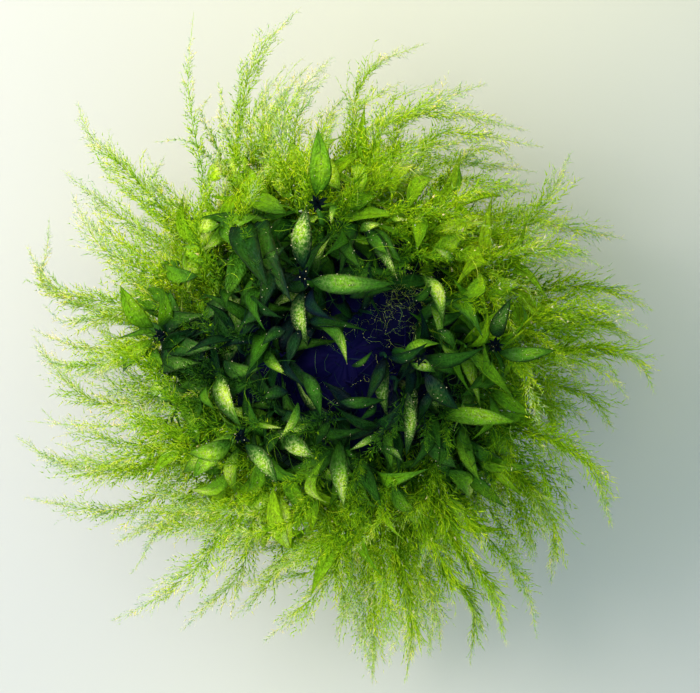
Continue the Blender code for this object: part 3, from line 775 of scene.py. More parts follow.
def plume(heap, rng, points, reach, density, tone0, tone1, lean=42.0, open_=34.0, leaflets=8, size=0.50, axis=0.042, flat=0.7, curl=0.35, bare=0.03, fan=0.0, fine=0.088, pale=0.012):
    """A feathery frond: a central filament, side branchlets that lean towards its tip, and hair-fine leaflets along
    them.

    reach is the longest branchlet in mm, density the number of them to the mm, tone0 and tone1 the tones at root and
    tip, lean their angle from the filament and open_ the leaflets' angle from them in degrees, size a leaflet's length
    in mm and fine its width, fan how much longer the branchlets are on its outer side, pale the share of leaflets
    painted near-white as glints.
    """
    m = 56
    route = smooth_route(points, m)
    tang = unit(np.gradient(route, axis=0))
    level = unit(np.cross(tang, (0.0, 0.0, 1.0)))
    over = np.cross(level, tang)
    total = float(np.linalg.norm(np.diff(route, axis=0), axis=1).sum())
    n = max(6, int(total * density * 0.93))
    s = (np.arange(n) + rng.uniform(0, 1, n)) / n
    s = bare + (0.975 - bare) * (s**0.90 * 0.92 + 0.08 * s**2.0)
    # branchlets stand in loose tufts along the filament
    tufts = total / 0.42
    s = np.clip(s + 0.45 / tufts * np.sin(2 * np.pi * s * tufts) / np.pi, bare, 0.98)
    at = s * (m - 1)
    low = np.minimum(at.astype(int), m - 2)
    f = (at - low)[:, None]
    c = route[low] * (1 - f) + route[low + 1] * f
    t, lv, ov = tang[low], level[low], over[low]
    phi = rng.normal(0, 0.8, n) + np.pi * (np.arange(n) % 2)
    out = unit(lv * np.cos(phi)[:, None] + ov * (np.sin(phi) * flat)[:, None])
    profile = np.clip(0.35 + 0.80 * np.sin(np.pi * np.clip(s, 0, 1) ** 0.85) ** 0.8, 0, 1) * np.where(s > 0.60, 1 - 0.80 * (np.maximum(s - 0.60, 0) / 0.40) ** 1.25, 1.0)
    lump = 0.80 + 0.30 * np.sin(s * total * 1.9 + rng.uniform(0, 6)) * np.cos(s * total * 0.7 + rng.uniform(0, 6))
    length = reach * profile * lump * rng.uniform(0.45, 1.20, n) * (1.0 + fan * np.cos(phi))
    angle = np.radians(np.clip(lean + rng.normal(0, 9, n), 6, 85)) * (1.0 - 0.30 * s)
    q = np.array([0.0, 0.5, 1.0])[None, :, None]
    bow = (curl * rng.uniform(0.3, 1.5, n))[:, None, None]
    sin_a, cos_a = np.sin(angle)[:, None, None], np.cos(angle)[:, None, None]
    path = (q * (1 - bow * q)) * sin_a * out[:, None] + (q * cos_a + bow * q * q * sin_a) * t[:, None] + q * q * rng.normal(0, 0.10, (n, 1, 3))
    centres = c[:, None] + path * length[:, None, None]
    centres[:, :, 2] = np.maximum(centres[:, :, 2], 0.12)
    radii = (0.022 * rng.uniform(0.8, 1.3, n) * (0.22 + 0.78 * profile))[:, None] * np.array([1.0, 0.75])[None]
    side = unit(np.cross(t, out) + 0.5 * ov * rng.uniform(-1, 1, n)[:, None])
    tone = tone0 + (tone1 - tone0) * np.clip(1.2 * s, 0, 1) + 0.06 * np.clip((s - 0.6) / 0.4, 0, 1) + 0.035 * np.sin(s * total * 1.6 + rng.uniform(0, 6)) + rng.normal(0, 0.025, n)
    shade = rng.uniform(0.10, 0.90, n)
    heap.strands(centres, radii, side, np.stack([tone - 0.08, tone - 0.05, tone], axis=1), shade, sides=3, flat=0.8)
    k = leaflets
    kept = rng.uniform(0, 1, (n, k)) > 0.78 * np.clip((s[:, None] - 0.55) / 0.42, 0, 1)
    where = np.clip((np.arange(k)[None] + 0.55 + rng.uniform(-0.3, 0.3, (n, k))) / k, 0.03, 0.99)
    a, b, d = centres[:, None, 0], centres[:, None, 1], centres[:, None, 2]
    w = where[..., None]
    at = np.where(w < 0.5, a + (b - a) * (2 * w), b + (d - b) * (2 * w - 1))
    way = np.where(w < 0.5, unit(b - a), unit(d - b))
    sideways = unit(np.cross(way, unit(ov[:, None] * 1.0 + rng.normal(0, 0.75, (n, k, 3)))))
    sign = np.where((np.arange(k)[None] + np.arange(n)[:, None]) % 2 == 0, -1.0, 1.0)[..., None]
    opening = np.radians(np.clip(open_ + rng.normal(0, 12, (n, k)), 5, 85))[..., None]
    sizes = size * rng.uniform(0.55, 1.30, (n, k)) * (0.45 + 0.55 * profile)[:, None] * (1.08 - 0.35 * where)
    # painted glints: a share of leaflets made shorter, wider and near-white
    glint = rng.uniform(0, 1, (n, k)) < pale
    sizes = np.where(glint, 0.65 * sizes, sizes)
    tips = at + (way * np.cos(opening) + sideways * sign * np.sin(opening)) * sizes[..., None]
    tips[..., 2] = np.maximum(tips[..., 2], 0.12)
    leaf_tone = tone[:, None] + 0.02 + rng.normal(0, 0.03, (n, k))
    leaf_tone = np.where(glint, np.minimum(leaf_tone + 0.30, 0.99), np.minimum(leaf_tone, 0.96))
    widths = fine * rng.uniform(0.7, 1.3, (n, k)) * ((0.22 + 0.78 * np.clip(1.15 * profile, 0, 1)) * (1.0 + 0.9 * np.clip(1 - s / 0.5, 0, 1)))[:, None]
    widths = np.where(glint, 2.0 * widths, widths)
    shades = np.clip(shade[:, None] + rng.normal(0, 0.14, (n, k)), 0.03, 0.97)
    heap.spikes(at[kept], tips[kept], sideways[kept], widths[kept], leaf_tone[kept], shades[kept], flat=0.6)
    knots = int(np.clip(total / 0.8, 7, 22))
    spine = smooth_route(points, knots)[None]
    heap.strands(spine, np.linspace(axis, axis * 0.22, knots - 1)[None], np.array([[0.3, 0.2, 0.93]]), (tone0 - 0.30 + (tone1 - tone0 + 0.30) * np.linspace(0, 1, knots))[None], np.array([0.5]), sides=4 if knots > 14 else 3)


def deep_root(points, keep=0.88):
    """The route with its root drawn into the tangle, so that it grows out of it."""
    return np.concatenate([[CENTRE + (points[0] - CENTRE) * keep], points])


def skin_point(turn, rise, depth):
    d = np.array((math.cos(rise) * math.cos(turn), math.cos(rise) * math.sin(turn), math.sin(rise)))
    return CENTRE + d * (tangle_reach(d) + depth)


def about_axis(points, turn, spread, lift):
    """A copy of a route turned about the ball's upright axis, drawn in or out, and lifted towards its tip."""
    made = np.array(points, float)
    x, y = made[:, 0] * spread, (made[:, 1] + 0.5) * spread - 0.5
    made[:, 0] = x * math.cos(turn) - y * math.sin(turn)
    made[:, 1] = x * math.sin(turn) + y * math.cos(turn)
    made[:, 2] = np.maximum(made[:, 2] + lift * np.linspace(0.2, 1.0, len(made)), 0.6)
    return made


stems, leaves, fronds = lay_out()

# longest branchlet in mm, branchlets to the mm, tone at root and at tip, lean, the leaflets' opening, leaflets, their
# size; fronds in the crown's shade have their tones raised, painted light
PLAIN = (2.60, 9.0, 0.66, 0.93, 42, 34, 8, 0.62)
# share of each frond's leaflets painted near-white as glints
GLINTS = {"frond_17": 0.03, "frond_23": 0.04, "frond_24": 0.05, "frond_25": 0.09, "frond_26": 0.07, "frond_27": 0.06}
STYLE = {
    "frond_01": (1.30, 7.0, 0.69, 0.93, 54, 34, 6, 0.46),
    "frond_02": (2.40, 10.0, 0.68, 0.94, 42, 34, 8, 0.54),
    "frond_03": (2.60, 9.5, 0.65, 0.93, 44, 34, 8, 0.56),
    "frond_10": (1.00, 6.0, 0.70, 0.94, 42, 34, 5, 0.40),
    "frond_11": (2.90, 11.5, 0.68, 0.93, 42, 36, 9, 0.58),
    "frond_12": (2.80, 8.8, 0.72, 0.96, 40, 36, 8, 0.58),
    "frond_13": (2.60, 7.6, 0.72, 0.95, 42, 34, 8, 0.62),
    "frond_14": (2.60, 7.6, 0.70, 0.95, 42, 34, 8, 0.62),
    "frond_16": (3.00, 10.5, 0.62, 0.90, 22, 18, 8, 0.75),
    "frond_17": (3.00, 11.0, 0.60, 0.88, 22, 18, 8, 0.75),
    "frond_18": (2.80, 10.5, 0.57, 0.86, 22, 18, 8, 0.80),
    "frond_19": (2.70, 10.0, 0.56, 0.84, 24, 19, 8, 0.78),
    "frond_20": (3.00, 9.5, 0.54, 0.84, 33, 28, 8, 0.72),
    "frond_21": (3.00, 9.5, 0.54, 0.84, 35, 30, 8, 0.70),
    "frond_22": (2.90, 9.5, 0.54, 0.82, 34, 28, 8, 0.72),
    "frond_23": (2.60, 10.0, 0.58, 0.84, 28, 21, 8, 0.72),
    "frond_24": (2.70, 10.0, 0.56, 0.84, 28, 21, 8, 0.72),
    "frond_25": (2.60, 10.0, 0.58, 0.84, 30, 22, 8, 0.70),
    "frond_29": (2.40, 10.0, 0.70, 0.93, 40, 34, 8, 0.58),
    "frond_30": (2.60, 9.0, 0.73, 0.94, 42, 34, 8, 0.62),
    "frond_31": (2.15, 9.0, 0.62, 0.92, 48, 34, 7, 0.54),
}

for i, (name, (points, radii)) in enumerate(fronds.items()):
    rng = np.random.default_rng(100 + i)
    reach, density, tone0, tone1, lean, opening, leaflets, size = STYLE.get(name, PLAIN)
    heap = Heap()
    plume(heap, rng, deep_root(points), reach, density, tone0 + rng.normal(0, 0.02), tone1 + rng.normal(0, 0.02), lean, opening, leaflets, size, pale=GLINTS.get(name, 0.014))
    heap.mesh(name + "_plume", frond_look, "frond", name)

# More fronds that the plan shows between the main ones: route, branchlet length, tone at root and tip; those in the
# crown's shade have their tones raised, painted light
MORE_FRONDS = [
    ([(215, 170, 16.0), (207, 128, 16.8), (204, 106, 16.5), (213, 93, 16.0)], 0.95, 0.66, 0.92),
    ([(222, 165, 17.0), (223, 125, 18.0), (222, 97, 18.0), (217, 78, 17.6)], 0.90, 0.66, 0.92),
    ([(95, 335, 9.0), (52, 292, 9.2), (47, 252, 8.8), (50, 214, 8.2)], 1.30, 0.74, 0.94),
    ([(235, 180, 16.6), (200, 148, 17.4), (150, 142, 17.0)], 0.35, 0.72, 0.93),
    ([(200, 222, 14.6), (157, 190, 15.2), (159, 168, 15.2), (166, 153, 14.8)], 1.10, 0.66, 0.92),
    ([(215, 296, 12.2), (170, 300, 12.4), (130, 310, 12.4), (95, 320, 12.2), (60, 320, 11.8), (44, 303, 11.4)], 2.20, 0.62, 0.93),
    ([(205, 338, 8.4), (150, 341, 8.2), (100, 350, 8.0), (60, 341, 7.6), (29, 328, 7.0)], 2.00, 0.68, 0.95),
    ([(352, 185, 13.6), (355, 122, 14.4), (370, 100, 14.2), (406, 80, 13.6)], 1.80, 0.62, 0.92),
    ([(405, 185, 14.8), (430, 141, 15.2), (470, 134, 14.8), (505, 140, 14.2), (546, 148, 13.4)], 1.80, 0.70, 0.91),
    ([(436, 200, 11.6), (452, 170, 12.2), (475, 151, 12.4), (500, 150, 12.2), (516, 164, 12.0), (521, 173, 11.8)], 1.40, 0.72, 0.91),
    ([(438, 232, 16.4), (460, 200, 17.4), (476, 190, 17.4), (510, 185, 16.8), (541, 184, 16.0)], 2.10, 0.58, 0.88),
    ([(440, 262, 15.6), (470, 240, 16.2), (500, 233, 16.2), (522, 238, 15.8), (550, 223, 15.2), (571, 224, 14.6)], 2.00, 0.60, 0.90),
    ([(480, 368, 15.8), (505, 360, 16.4), (550, 356, 16.2), (600, 370, 15.2), (631, 401, 14.2)], 2.10, 0.60, 0.90),
    ([(482, 384, 10.6), (515, 386, 10.8), (550, 400, 10.6), (580, 415, 10.2), (591, 431, 9.8)], 1.90, 0.60, 0.88),
    ([(440, 470, 13.6), (462, 502, 14.0), (490, 540, 13.8), (515, 570, 13.2), (530, 600, 12.6), (537, 641, 11.8)], 2.10, 0.58, 0.88),
    ([(326, 498, 11.6), (330, 541, 11.8), (344, 600, 11.4), (335, 641, 10.8)], 2.00, 0.62, 0.92),
    ([(240, 482, 13.4), (205, 520, 13.8), (160, 531, 13.4), (144, 555, 13.0), (130, 576, 12.4)], 1.50, 0.70, 0.94),
    ([(185, 348, 15.6), (132, 350, 16.0), (100, 368, 15.6), (69, 376, 15.0)], 1.90, 0.64, 0.93),
    ([(352, 498, 9.8), (350, 566, 9.8), (357, 618, 9.2), (361, 652, 8.6)], 2.20, 0.64, 0.92),
    ([(380, 498, 16.0), (384, 576, 16.4), (392, 632, 15.6), (388, 670, 14.8)], 2.30, 0.62, 0.90),
    ([(398, 492, 6.4), (411, 576, 6.4), (428, 626, 5.8), (431, 660, 5.2)], 2.20, 0.60, 0.88),
    ([(372, 505, 9.4), (364, 590, 9.4), (366, 650, 8.8), (378, 686, 8.0)], 2.20, 0.64, 0.92),
    ([(292, 196, 17.0), (266, 146, 17.6), (272, 110, 17.2), (298, 78, 16.4)], 1.80, 0.66, 0.93),
    ([(455, 452, 11.0), (502, 488, 11.8), (527, 522, 11.6), (534, 566, 10.8)], 2.20, 0.58, 0.86),
    ([(405, 490, 8.4), (426, 566, 8.8), (438, 616, 8.4), (441, 652, 7.8)], 2.40, 0.60, 0.88),
    ([(240, 470, 10.0), (204, 506, 10.4), (166, 522, 10.0), (118, 541, 9.0)], 1.70, 0.72, 0.94),
    ([(210, 318, 15.4), (160, 300, 16.0), (122, 272, 15.6), (97, 232, 15.0)], 1.90, 0.66, 0.93),
    ([(300, 490, 11.0), (288, 545, 11.4), (262, 590, 11.0), (230, 620, 10.2)], 2.20, 0.66, 0.93),
    ([(482, 345, 16.0), (545, 316, 17.0), (600, 310, 16.6), (650, 330, 15.6)], 2.30, 0.60, 0.86),
    ([(470, 430, 13.0), (515, 470, 13.6), (540, 505, 13.2), (549, 548, 12.4)], 2.30, 0.60, 0.88),
    ([(450, 460, 9.0), (490, 510, 9.4), (512, 545, 9.0), (521, 590, 8.4)], 2.20, 0.60, 0.88),
    ([(400, 488, 13.0), (418, 560, 14.0), (433, 610, 13.6), (428, 660, 12.8)], 2.40, 0.64, 0.91),
    ([(484, 330, 13.0), (545, 300, 13.8), (600, 300, 13.4), (640, 322, 12.8)], 2.30, 0.60, 0.88),
    ([(232, 455, 13.0), (190, 500, 13.6), (150, 520, 13.2), (112, 548, 12.4)], 2.20, 0.68, 0.93),
    ([(215, 428, 15.0), (150, 452, 15.8), (100, 462, 15.4), (50, 462, 14.6)], 2.60, 0.68, 0.93),
    ([(318, 195, 14.0), (296, 150, 14.6), (300, 110, 14.4), (330, 72, 13.8)], 2.00, 0.68, 0.93),
    ([(392, 500, 11.0), (397, 560, 11.6), (402, 610, 11.2), (394, 655, 10.4)], 2.60, 0.64, 0.90),
    ([(322, 200, 12.0), (318, 150, 12.6), (330, 115, 12.4), (352, 88, 11.8)], 1.90, 0.68, 0.93),
    ([(280, 196, 13.0), (268, 140, 13.6), (284, 96, 13.2), (314, 60, 12.4)], 1.90, 0.68, 0.93),
    ([(462, 440, 10.0), (505, 468, 10.6), (533, 500, 10.2), (545, 540, 9.4)], 2.60, 0.60, 0.86),
    ([(262, 190, 13.0), (250, 140, 13.4), (262, 100, 13.2), (288, 62, 12.4)], 1.90, 0.68, 0.93),
]

heap = Heap()
rng = np.random.default_rng(800)
for route, reach, tone0, tone1 in MORE_FRONDS:
    points = [plan(*p) for p in route]
    points[0] = on_skin(points[0], 0.4)
    plume(heap, rng, deep_root(smooth_route(points, 14)), reach, 7.5, tone0, tone1, 42 + rng.normal(0, 3), 34, 8, 0.56)
# and broad low ones, which close the halo under them
for route, reach, tone0, tone1 in [
    ([(395, 500, 7.0), (402, 560, 6.4), (412, 610, 5.6), (408, 650, 4.8)], 3.0, 0.56, 0.80),
    ([(375, 505, 5.0), (378, 570, 4.6), (384, 620, 4.0), (380, 660, 3.4)], 3.0, 0.56, 0.80),
    ([(455, 455, 8.0), (492, 490, 7.6), (520, 520, 7.0), (530, 560, 6.2)], 3.0, 0.50, 0.70),
    ([(470, 430, 7.0), (520, 455, 6.6), (552, 480, 6.0), (570, 520, 5.2)], 2.8, 0.50, 0.68),
    ([(480, 345, 8.0), (545, 325, 7.4), (600, 325, 6.8), (632, 345, 6.0)], 2.8, 0.50, 0.72),
    ([(200, 290, 8.0), (150, 262, 7.6), (110, 232, 7.0), (88, 190, 6.2)], 2.4, 0.68, 0.90),
]:
    points = [plan(*p) for p in route]
    points[0] = on_skin(points[0], 0.4)
    plume(heap, rng, deep_root(smooth_route(points, 14)), reach, 6.0, tone0, tone1, 40, 30, 7, 0.74, fine=0.105)
heap.mesh("more_fronds", frond_look, "frond")

# Slighter fronds beside the main ones, at other heights
heap = Heap()
for i, (name, (points, radii)) in enumerate(fronds.items()):
    rng = np.random.default_rng(300 + i)
    reach, density, tone0, tone1, lean, opening, leaflets, size = STYLE.get(name, PLAIN)
    for k in range(3):
        turn = math.radians((rng.uniform(2.0, 6.0) if k < 2 else rng.uniform(-2.0, 2.0)) * (1 if k % 2 else -1))
        route = about_axis(points, turn, rng.uniform(0.66, 0.92), rng.uniform(-2.4, 2.6))
        route = route + rng.normal(0, 0.10, route.shape)
        plume(heap, rng, deep_root(route), reach * rng.uniform(0.75, 1.0), density * 0.46, tone0 + rng.normal(-0.02, 0.03), tone1 + rng.normal(-0.03, 0.02), lean + rng.normal(0, 5), opening, 6, size, pale=GLINTS.get(name, 0.014))
heap.mesh("side_fronds", frond_look, "frond")

# Short fronds all over the tangle's sides and shoulders
for tier, (count, rise_low, rise_high, reach_low, reach_high, tip_low, tip_high, tone0, tone1) in enumerate([
    (22, -1.25, -0.75, 7.5, 12.0, 0.4, 1.8, 0.50, 0.80),
    (34, -0.80, -0.10, 11.8, 16.2, 0.8, 6.0, 0.56, 0.88),
    (42, -0.10, 0.45, 13.5, 17.5, 6.0, 14.0, 0.67, 0.93),
    (40, 0.50, 0.95, 10.5, 15.6, 15.0, 21.5, 0.60, 0.88),
]):
    heap = Heap()
    rng = np.random.default_rng(500 + tier)
    for k in range(count):
        turn = 2 * math.pi * (k + rng.uniform(0, 1)) / count
        rise = rng.uniform(rise_low, rise_high)
        root = skin_point(turn, rise, 0.2)
        swirl = math.radians(rng.uniform(8, 34))
        far = rng.uniform(reach_low, reach_high)
        top = rng.uniform(tip_low, tip_high)
        tip = np.array((far * math.cos(turn - swirl), far * math.sin(turn - swirl) - 0.3, top))
        r0 = math.hypot(root[0], root[1] + 0.5)
        mid_turn, mid_reach = turn - swirl * 0.28, r0 + (far - r0) * 0.55
        mid = np.array((mid_reach * math.cos(mid_turn), mid_reach * math.sin(mid_turn) - 0.4, (root[2] + top) / 2 + rng.uniform(0.2, 1.4)))
        near, away = (ring_tone(root) + 0.02, min(tone1, ring_tone(tip) + 0.18)) if tip_low > 10 else (tone0, tone1)
        # over two patches of painted shade these fronds sit lower and are painted darker
        if tip_low > 10 and (math.hypot(mid[0] - 9.0, mid[1] + 5.5) < 3.3 or math.hypot(mid[0] + 10.2, mid[1] - 0.9) < 2.6):
            mid[2], tip[2], away = mid[2] - 3.2, tip[2] - 3.6, away - 0.16
        plume(heap, rng, deep_root(np.array([root, mid, tip])), rng.uniform(1.6, 2.3), 6.0, near + rng.normal(0, 0.03), away + rng.normal(0, 0.03), rng.uniform(32, 48), 34, 7, 0.58, bare=0.12)
    heap.mesh(("under_fronds", "low_fronds", "middle_fronds", "shoulder_fronds")[tier], frond_look, "frond")

# Short broad moss that lies close over the tangle's sides, between the roots of the rest
heap = Heap()
rng = np.random.default_rng(640)
for k in range(44):
    turn = 2.39996 * k + rng.normal(0, 0.15)
    rise = -0.62 + 0.80 * ((k * 0.618034) % 1.0)
    swirl = math.radians(rng.uniform(18, 34))
    points = np.array([skin_point(turn, rise + 0.10, -0.2), skin_point(turn - 0.5 * swirl, rise, 0.7), skin_point(turn - swirl, rise - rng.uniform(0.10, 0.24), 1.5)])
    points[:, 2] = np.maximum(points[:, 2], 0.5)
    plume(heap, rng, points, rng.uniform(1.7, 2.3), 4.6, 0.50 + rng.normal(0, 0.03), 0.72 + rng.normal(0, 0.03), 46, 36, 6, 0.80, fine=0.115)
heap.mesh("side_moss", frond_look, "frond")

# ---------------------------------------------------------------- leaves

# tone, how much paler the painted highlight of the lit patch is, and where along the blade it lies
LEAF_TONE = {
    "leaf_01": (0.55, 0.16, 0.50), "leaf_02": (0.27, 0.62, 0.60), "leaf_03": (0.38, 0.20, 0.40), "leaf_04": (0.27, 0.50, 0.86), "leaf_05": (0.43, 0.12, 0.35),
    "leaf_06": (0.38, 0.62, 0.50), "leaf_07": (0.27, 0.50, 0.55), "leaf_08": (0.58, 0.14, 0.55), "leaf_09": (0.52, 0.10, 0.50), "leaf_10": (0.62, 0.20, 0.60),
    "leaf_11": (0.38, 0.60, 0.45), "leaf_12": (0.48, 0.26, 0.60), "leaf_13": (0.54, 0.24, 0.55), "leaf_14": (0.34, 0.46, 0.55), "leaf_15": (0.33, 0.60, 0.62),
    "leaf_16": (0.74, 0.22, 0.50), "leaf_17": (0.40, 0.62, 0.72), "leaf_18": (0.27, 0.44, 0.45), "leaf_19": (0.19, 0.14, 0.50), "leaf_20": (0.54, 0.24, 0.55),
    "leaf_21": (0.40, 0.16, 0.60), "leaf_22": (0.28, 0.18, 0.60),
}


def rolled_up(base, tip, roll):
    """The upward side of a blade rolled about its length."""
    along = unit(tip - base)
    side = unit(np.cross(along, (0.0, 0.0, 1.0)))
    up = np.cross(side, along)
    a = math.radians(roll)
    return up * math.cos(a) - side * math.sin(a)


for i, (name, (base, tip, width, rise, roll)) in enumerate(leaves.items()):
    heap = Heap()
    heap.blades(
        base[None], tip[None], rolled_up(base, tip, roll)[None], np.array([width]), np.array([rise]),
        np.array([LEAF_TONE[name][0]]), np.array([0.35 + 0.06 * (i % 6)]), rows=28, keel=0.30, thick=0.07, glow=np.array([LEAF_TONE[name][1]]),
        bend=np.array([0.30 * (-1) ** i]), twist=np.array([0.35 * (-1) ** (i // 2)]), wave=0.08, form=(0.86, 1.22), lit_at=np.array([LEAF_TONE[name][2]]), glints=0.8,
    )
    heap.mesh(name + "_blade", blade_look, "leaf", name)


# Smaller leaves of the crown as the plan shows them: base and tip, width in mm, tone, and height off the dome
SMALL_LEAVES = [
    (275, 207, 212, 160, 1.60, 0.62, -0.8), (290, 200, 262, 150, 1.50, 0.60, -0.6), (286, 214, 232, 196, 1.30, 0.54, -0.2),
    (238, 224, 187, 219, 1.30, 0.44, 0.0), (302, 190, 289, 138, 1.20, 0.50, -0.4), (246, 220, 270, 292, 1.80, 0.32, 0.4), (264, 218, 288, 284, 1.80, 0.30, 0.3),
    (273, 489, 292, 553, 1.10, 0.94, 2.2),
    (220, 225, 191, 222, 0.95, 0.62, 1.3), (221, 224, 238, 190, 0.90, 0.46, 1.2), (222, 227, 204, 250, 0.80, 0.60, 1.1), (223, 226, 256, 216, 0.95, 0.50, 1.2), (222, 228, 244, 252, 0.90, 0.42, 1.1),
    (306, 212, 302, 249, 0.70, 0.70, 0.8), (318, 325, 347, 363, 0.75, 0.60, 0.4), (453, 262, 433, 247, 0.55, 0.74, 0.6),
    (492, 348, 506, 318, 0.80, 0.46, 0.0), (404, 352, 441, 344, 0.80, 0.54, 0.4), (410, 360, 436, 373, 0.80, 0.60, 0.6),
    (256, 424, 283, 428, 0.35, 0.70, 0.6), (298, 403, 280, 438, 0.60, 0.66, 0.6), (340, 402, 386, 398, 0.75, 0.34, 0.4),
    (376, 404, 360, 420, 0.50, 0.32, 0.5), (379, 434, 349, 451, 0.45, 0.62, 0.5), (379, 447, 404, 463, 0.50, 0.58, 0.6),
    (326, 456, 333, 508, 0.75, 0.80, 0.9), (442, 498, 459, 533, 0.85, 0.72, 0.4), (163, 372, 201, 363, 1.00, 0.40, 0.5),
    (201, 398, 190, 429, 1.50, 0.48, -0.2), (224, 361, 263, 367, 1.00, 0.40, 0.2), (302, 372, 321, 418, 0.90, 0.42, 0.2),
    (267, 351, 286, 375, 0.80, 0.64, 0.2), (334, 206, 331, 222, 0.45, 0.66, 0.6), (368, 232, 402, 262, 1.20, 0.28, -0.2),
    (352, 166, 361, 202, 0.95, 0.62, -0.4), (391, 219, 407, 219, 0.35, 0.78, 0.8), (360, 231, 382, 224, 0.60, 0.58, 0.6),
    (350, 297, 394, 289, 0.80, 0.36, 0.0), (414, 214, 417, 250, 1.10, 0.24, -0.4), (446, 430, 438, 468, 0.70, 0.44, 0.0),
    (340, 200, 376, 196, 1.20, 0.30, -0.2), (296, 226, 268, 258, 1.30, 0.26, -0.4), (344, 236, 360, 268, 0.90, 0.22, -0.2),
    (268, 300, 238, 326, 1.10, 0.24, 0.0), (232, 300, 200, 322, 1.00, 0.34, 0.0), (214, 262, 180, 246, 1.10, 0.46, -0.2),
    (198, 276, 160, 262, 1.00, 0.50, -0.2), (190, 392, 152, 402, 1.00, 0.46, -0.2), (206, 350, 168, 360, 1.10, 0.34, 0.0),
    (258, 458, 244, 500, 1.00, 0.46, 0.0), (232, 480, 262, 520, 0.90, 0.56, -0.4), (318, 500, 306, 540, 0.90, 0.56, -0.6),
    (366, 470, 382, 512, 1.00, 0.44, -0.2), (392, 480, 420, 510, 0.90, 0.50, -0.2), (420, 440, 458, 470, 1.00, 0.40, 0.0),
    (470, 440, 506, 462, 0.90, 0.48, -0.4), (470, 388, 510, 384, 1.00, 0.38, 0.0), (456, 300, 480, 268, 1.10, 0.28, -0.2),
    (430, 258, 466, 232, 1.20, 0.32, -0.4), (408, 208, 436, 176, 1.10, 0.46, -0.8), (376, 190, 392, 152, 1.00, 0.50, -0.8),
    (336, 176, 342, 136, 1.00, 0.54, -0.8), (250, 190, 224, 214, 1.00, 0.48, 0.0), (204, 232, 178, 218, 0.90, 0.56, -0.6),
    (176, 300, 142, 296, 1.00, 0.46, -0.4), (168, 420, 138, 436, 0.90, 0.50, -0.6), (286, 330, 262, 344, 0.80, 0.30, 0.2),
    (330, 420, 316, 446, 0.70, 0.36, 0.2), (300, 330, 288, 366, 0.80, 0.26, 0.0), (438, 330, 456, 352, 0.70, 0.30, 0.2),
    (414, 300, 432, 286, 0.60, 0.40, 0.4), (288, 392, 262, 400, 0.80, 0.32, 0.1), (432, 392, 418, 424, 0.80, 0.28, 0.0),
    (236, 436, 203, 447, 1.10, 0.58, -0.3), (232, 447, 182, 473, 1.10, 0.74, -0.5), (238, 448, 236, 496, 0.90, 0.66, -0.3), (252, 476, 242, 518, 1.15, 0.78, -0.9),
    (234, 466, 188, 488, 0.90, 0.62, -0.6), (266, 484, 240, 514, 0.90, 0.70, -0.5), (224, 482, 212, 526, 1.00, 0.78, -1.2), (284, 470, 308, 516, 1.10, 0.54, -0.5),
    (208, 180, 240, 158, 1.20, 0.70, -1.4), (240, 190, 236, 150, 1.50, 0.74, -1.5), (262, 196, 282, 162, 1.20, 0.72, -1.0), (300, 186, 272, 168, 1.10, 0.66, -0.9),
    (224, 226, 196, 254, 1.20, 0.72, -0.9), (206, 244, 188, 292, 1.40, 0.72, -1.3), (236, 250, 222, 300, 1.30, 0.54, -0.7), (180, 262, 150, 286, 1.10, 0.70, -1.0),
    (150, 344, 170, 372, 1.00, 0.56, -0.4), (196, 330, 160, 352, 1.20, 0.36, 0.2), (152, 346, 122, 374, 1.00, 0.66, -0.8), (180, 384, 146, 394, 1.10, 0.66, -0.8),
    (392, 196, 420, 160, 1.30, 0.66, -1.0), (430, 232, 470, 214, 1.20, 0.62, -0.8), (452, 258, 492, 250, 1.10, 0.60, -0.7), (486, 300, 520, 280, 1.10, 0.58, -0.8),
    (504, 356, 540, 378, 1.10, 0.58, -0.7), (486, 424, 520, 450, 1.20, 0.60, -0.9), (446, 470, 474, 504, 1.20, 0.62, -0.9), (402, 490, 420, 534, 1.10, 0.64, -1.0),
    (352, 500, 356, 546, 1.20, 0.64, -1.0), (306, 500, 322, 548, 1.10, 0.66, -1.0), (340, 190, 322, 150, 1.20, 0.66, -1.0), (262, 230, 290, 262, 1.30, 0.32, -0.2),
    (258, 262, 288, 300, 1.20, 0.26, 0.0), (284, 268, 262, 312, 1.10, 0.24, 0.1), (248, 300, 280, 318, 1.00, 0.26, 0.1), (352, 366, 372, 352, 0.40, 0.40, 0.3), (268, 274, 286, 246, 0.90, 0.30, 0.2), (498, 412, 532, 436, 0.80, 0.50, -0.4),
    (165, 332, 171, 290, 1.40, 0.48, 0.5), (168, 340, 214, 348, 1.40, 0.34, 0.0), (168, 334, 210, 316, 1.30, 0.36, 0.0), (166, 345, 196, 376, 1.20, 0.38, 0.1),
]


def dome(u, v):
    """Height in mm of the crown over a place on the plan."""
    return 24.3 - 8.6 * (math.hypot(u - SHEET_CENTRE[0], v - SHEET_CENTRE[1]) / 200.0) ** 2.2


rng = np.random.default_rng(71)
heap = Heap()
values = []
for u0, v0, u1, v1, width, tone, up in SMALL_LEAVES:
    base = off_tangle(plan(u0, v0, dome(u0, v0) + up - 0.5), 0.2)
    tip = off_tangle(plan(u1, v1, dome(u1, v1) + up + rng.uniform(-0.1, 0.7)), 0.6)
    length = float(np.linalg.norm(tip - base))
    values.append((base, tip, rolled_up(base, tip, rng.normal(0, 16)), width, length * rng.uniform(0.06, 0.13), tone, rng.uniform(0.25, 0.75), rng.normal(0, 0.05) * length, length * rng.uniform(-0.15, 0.02), rng.normal(0, 0.35)))
base, tip, normal, width, rise, tone, shade, bend, hook, twist = (np.array([v[k] for v in values]) for k in range(10))
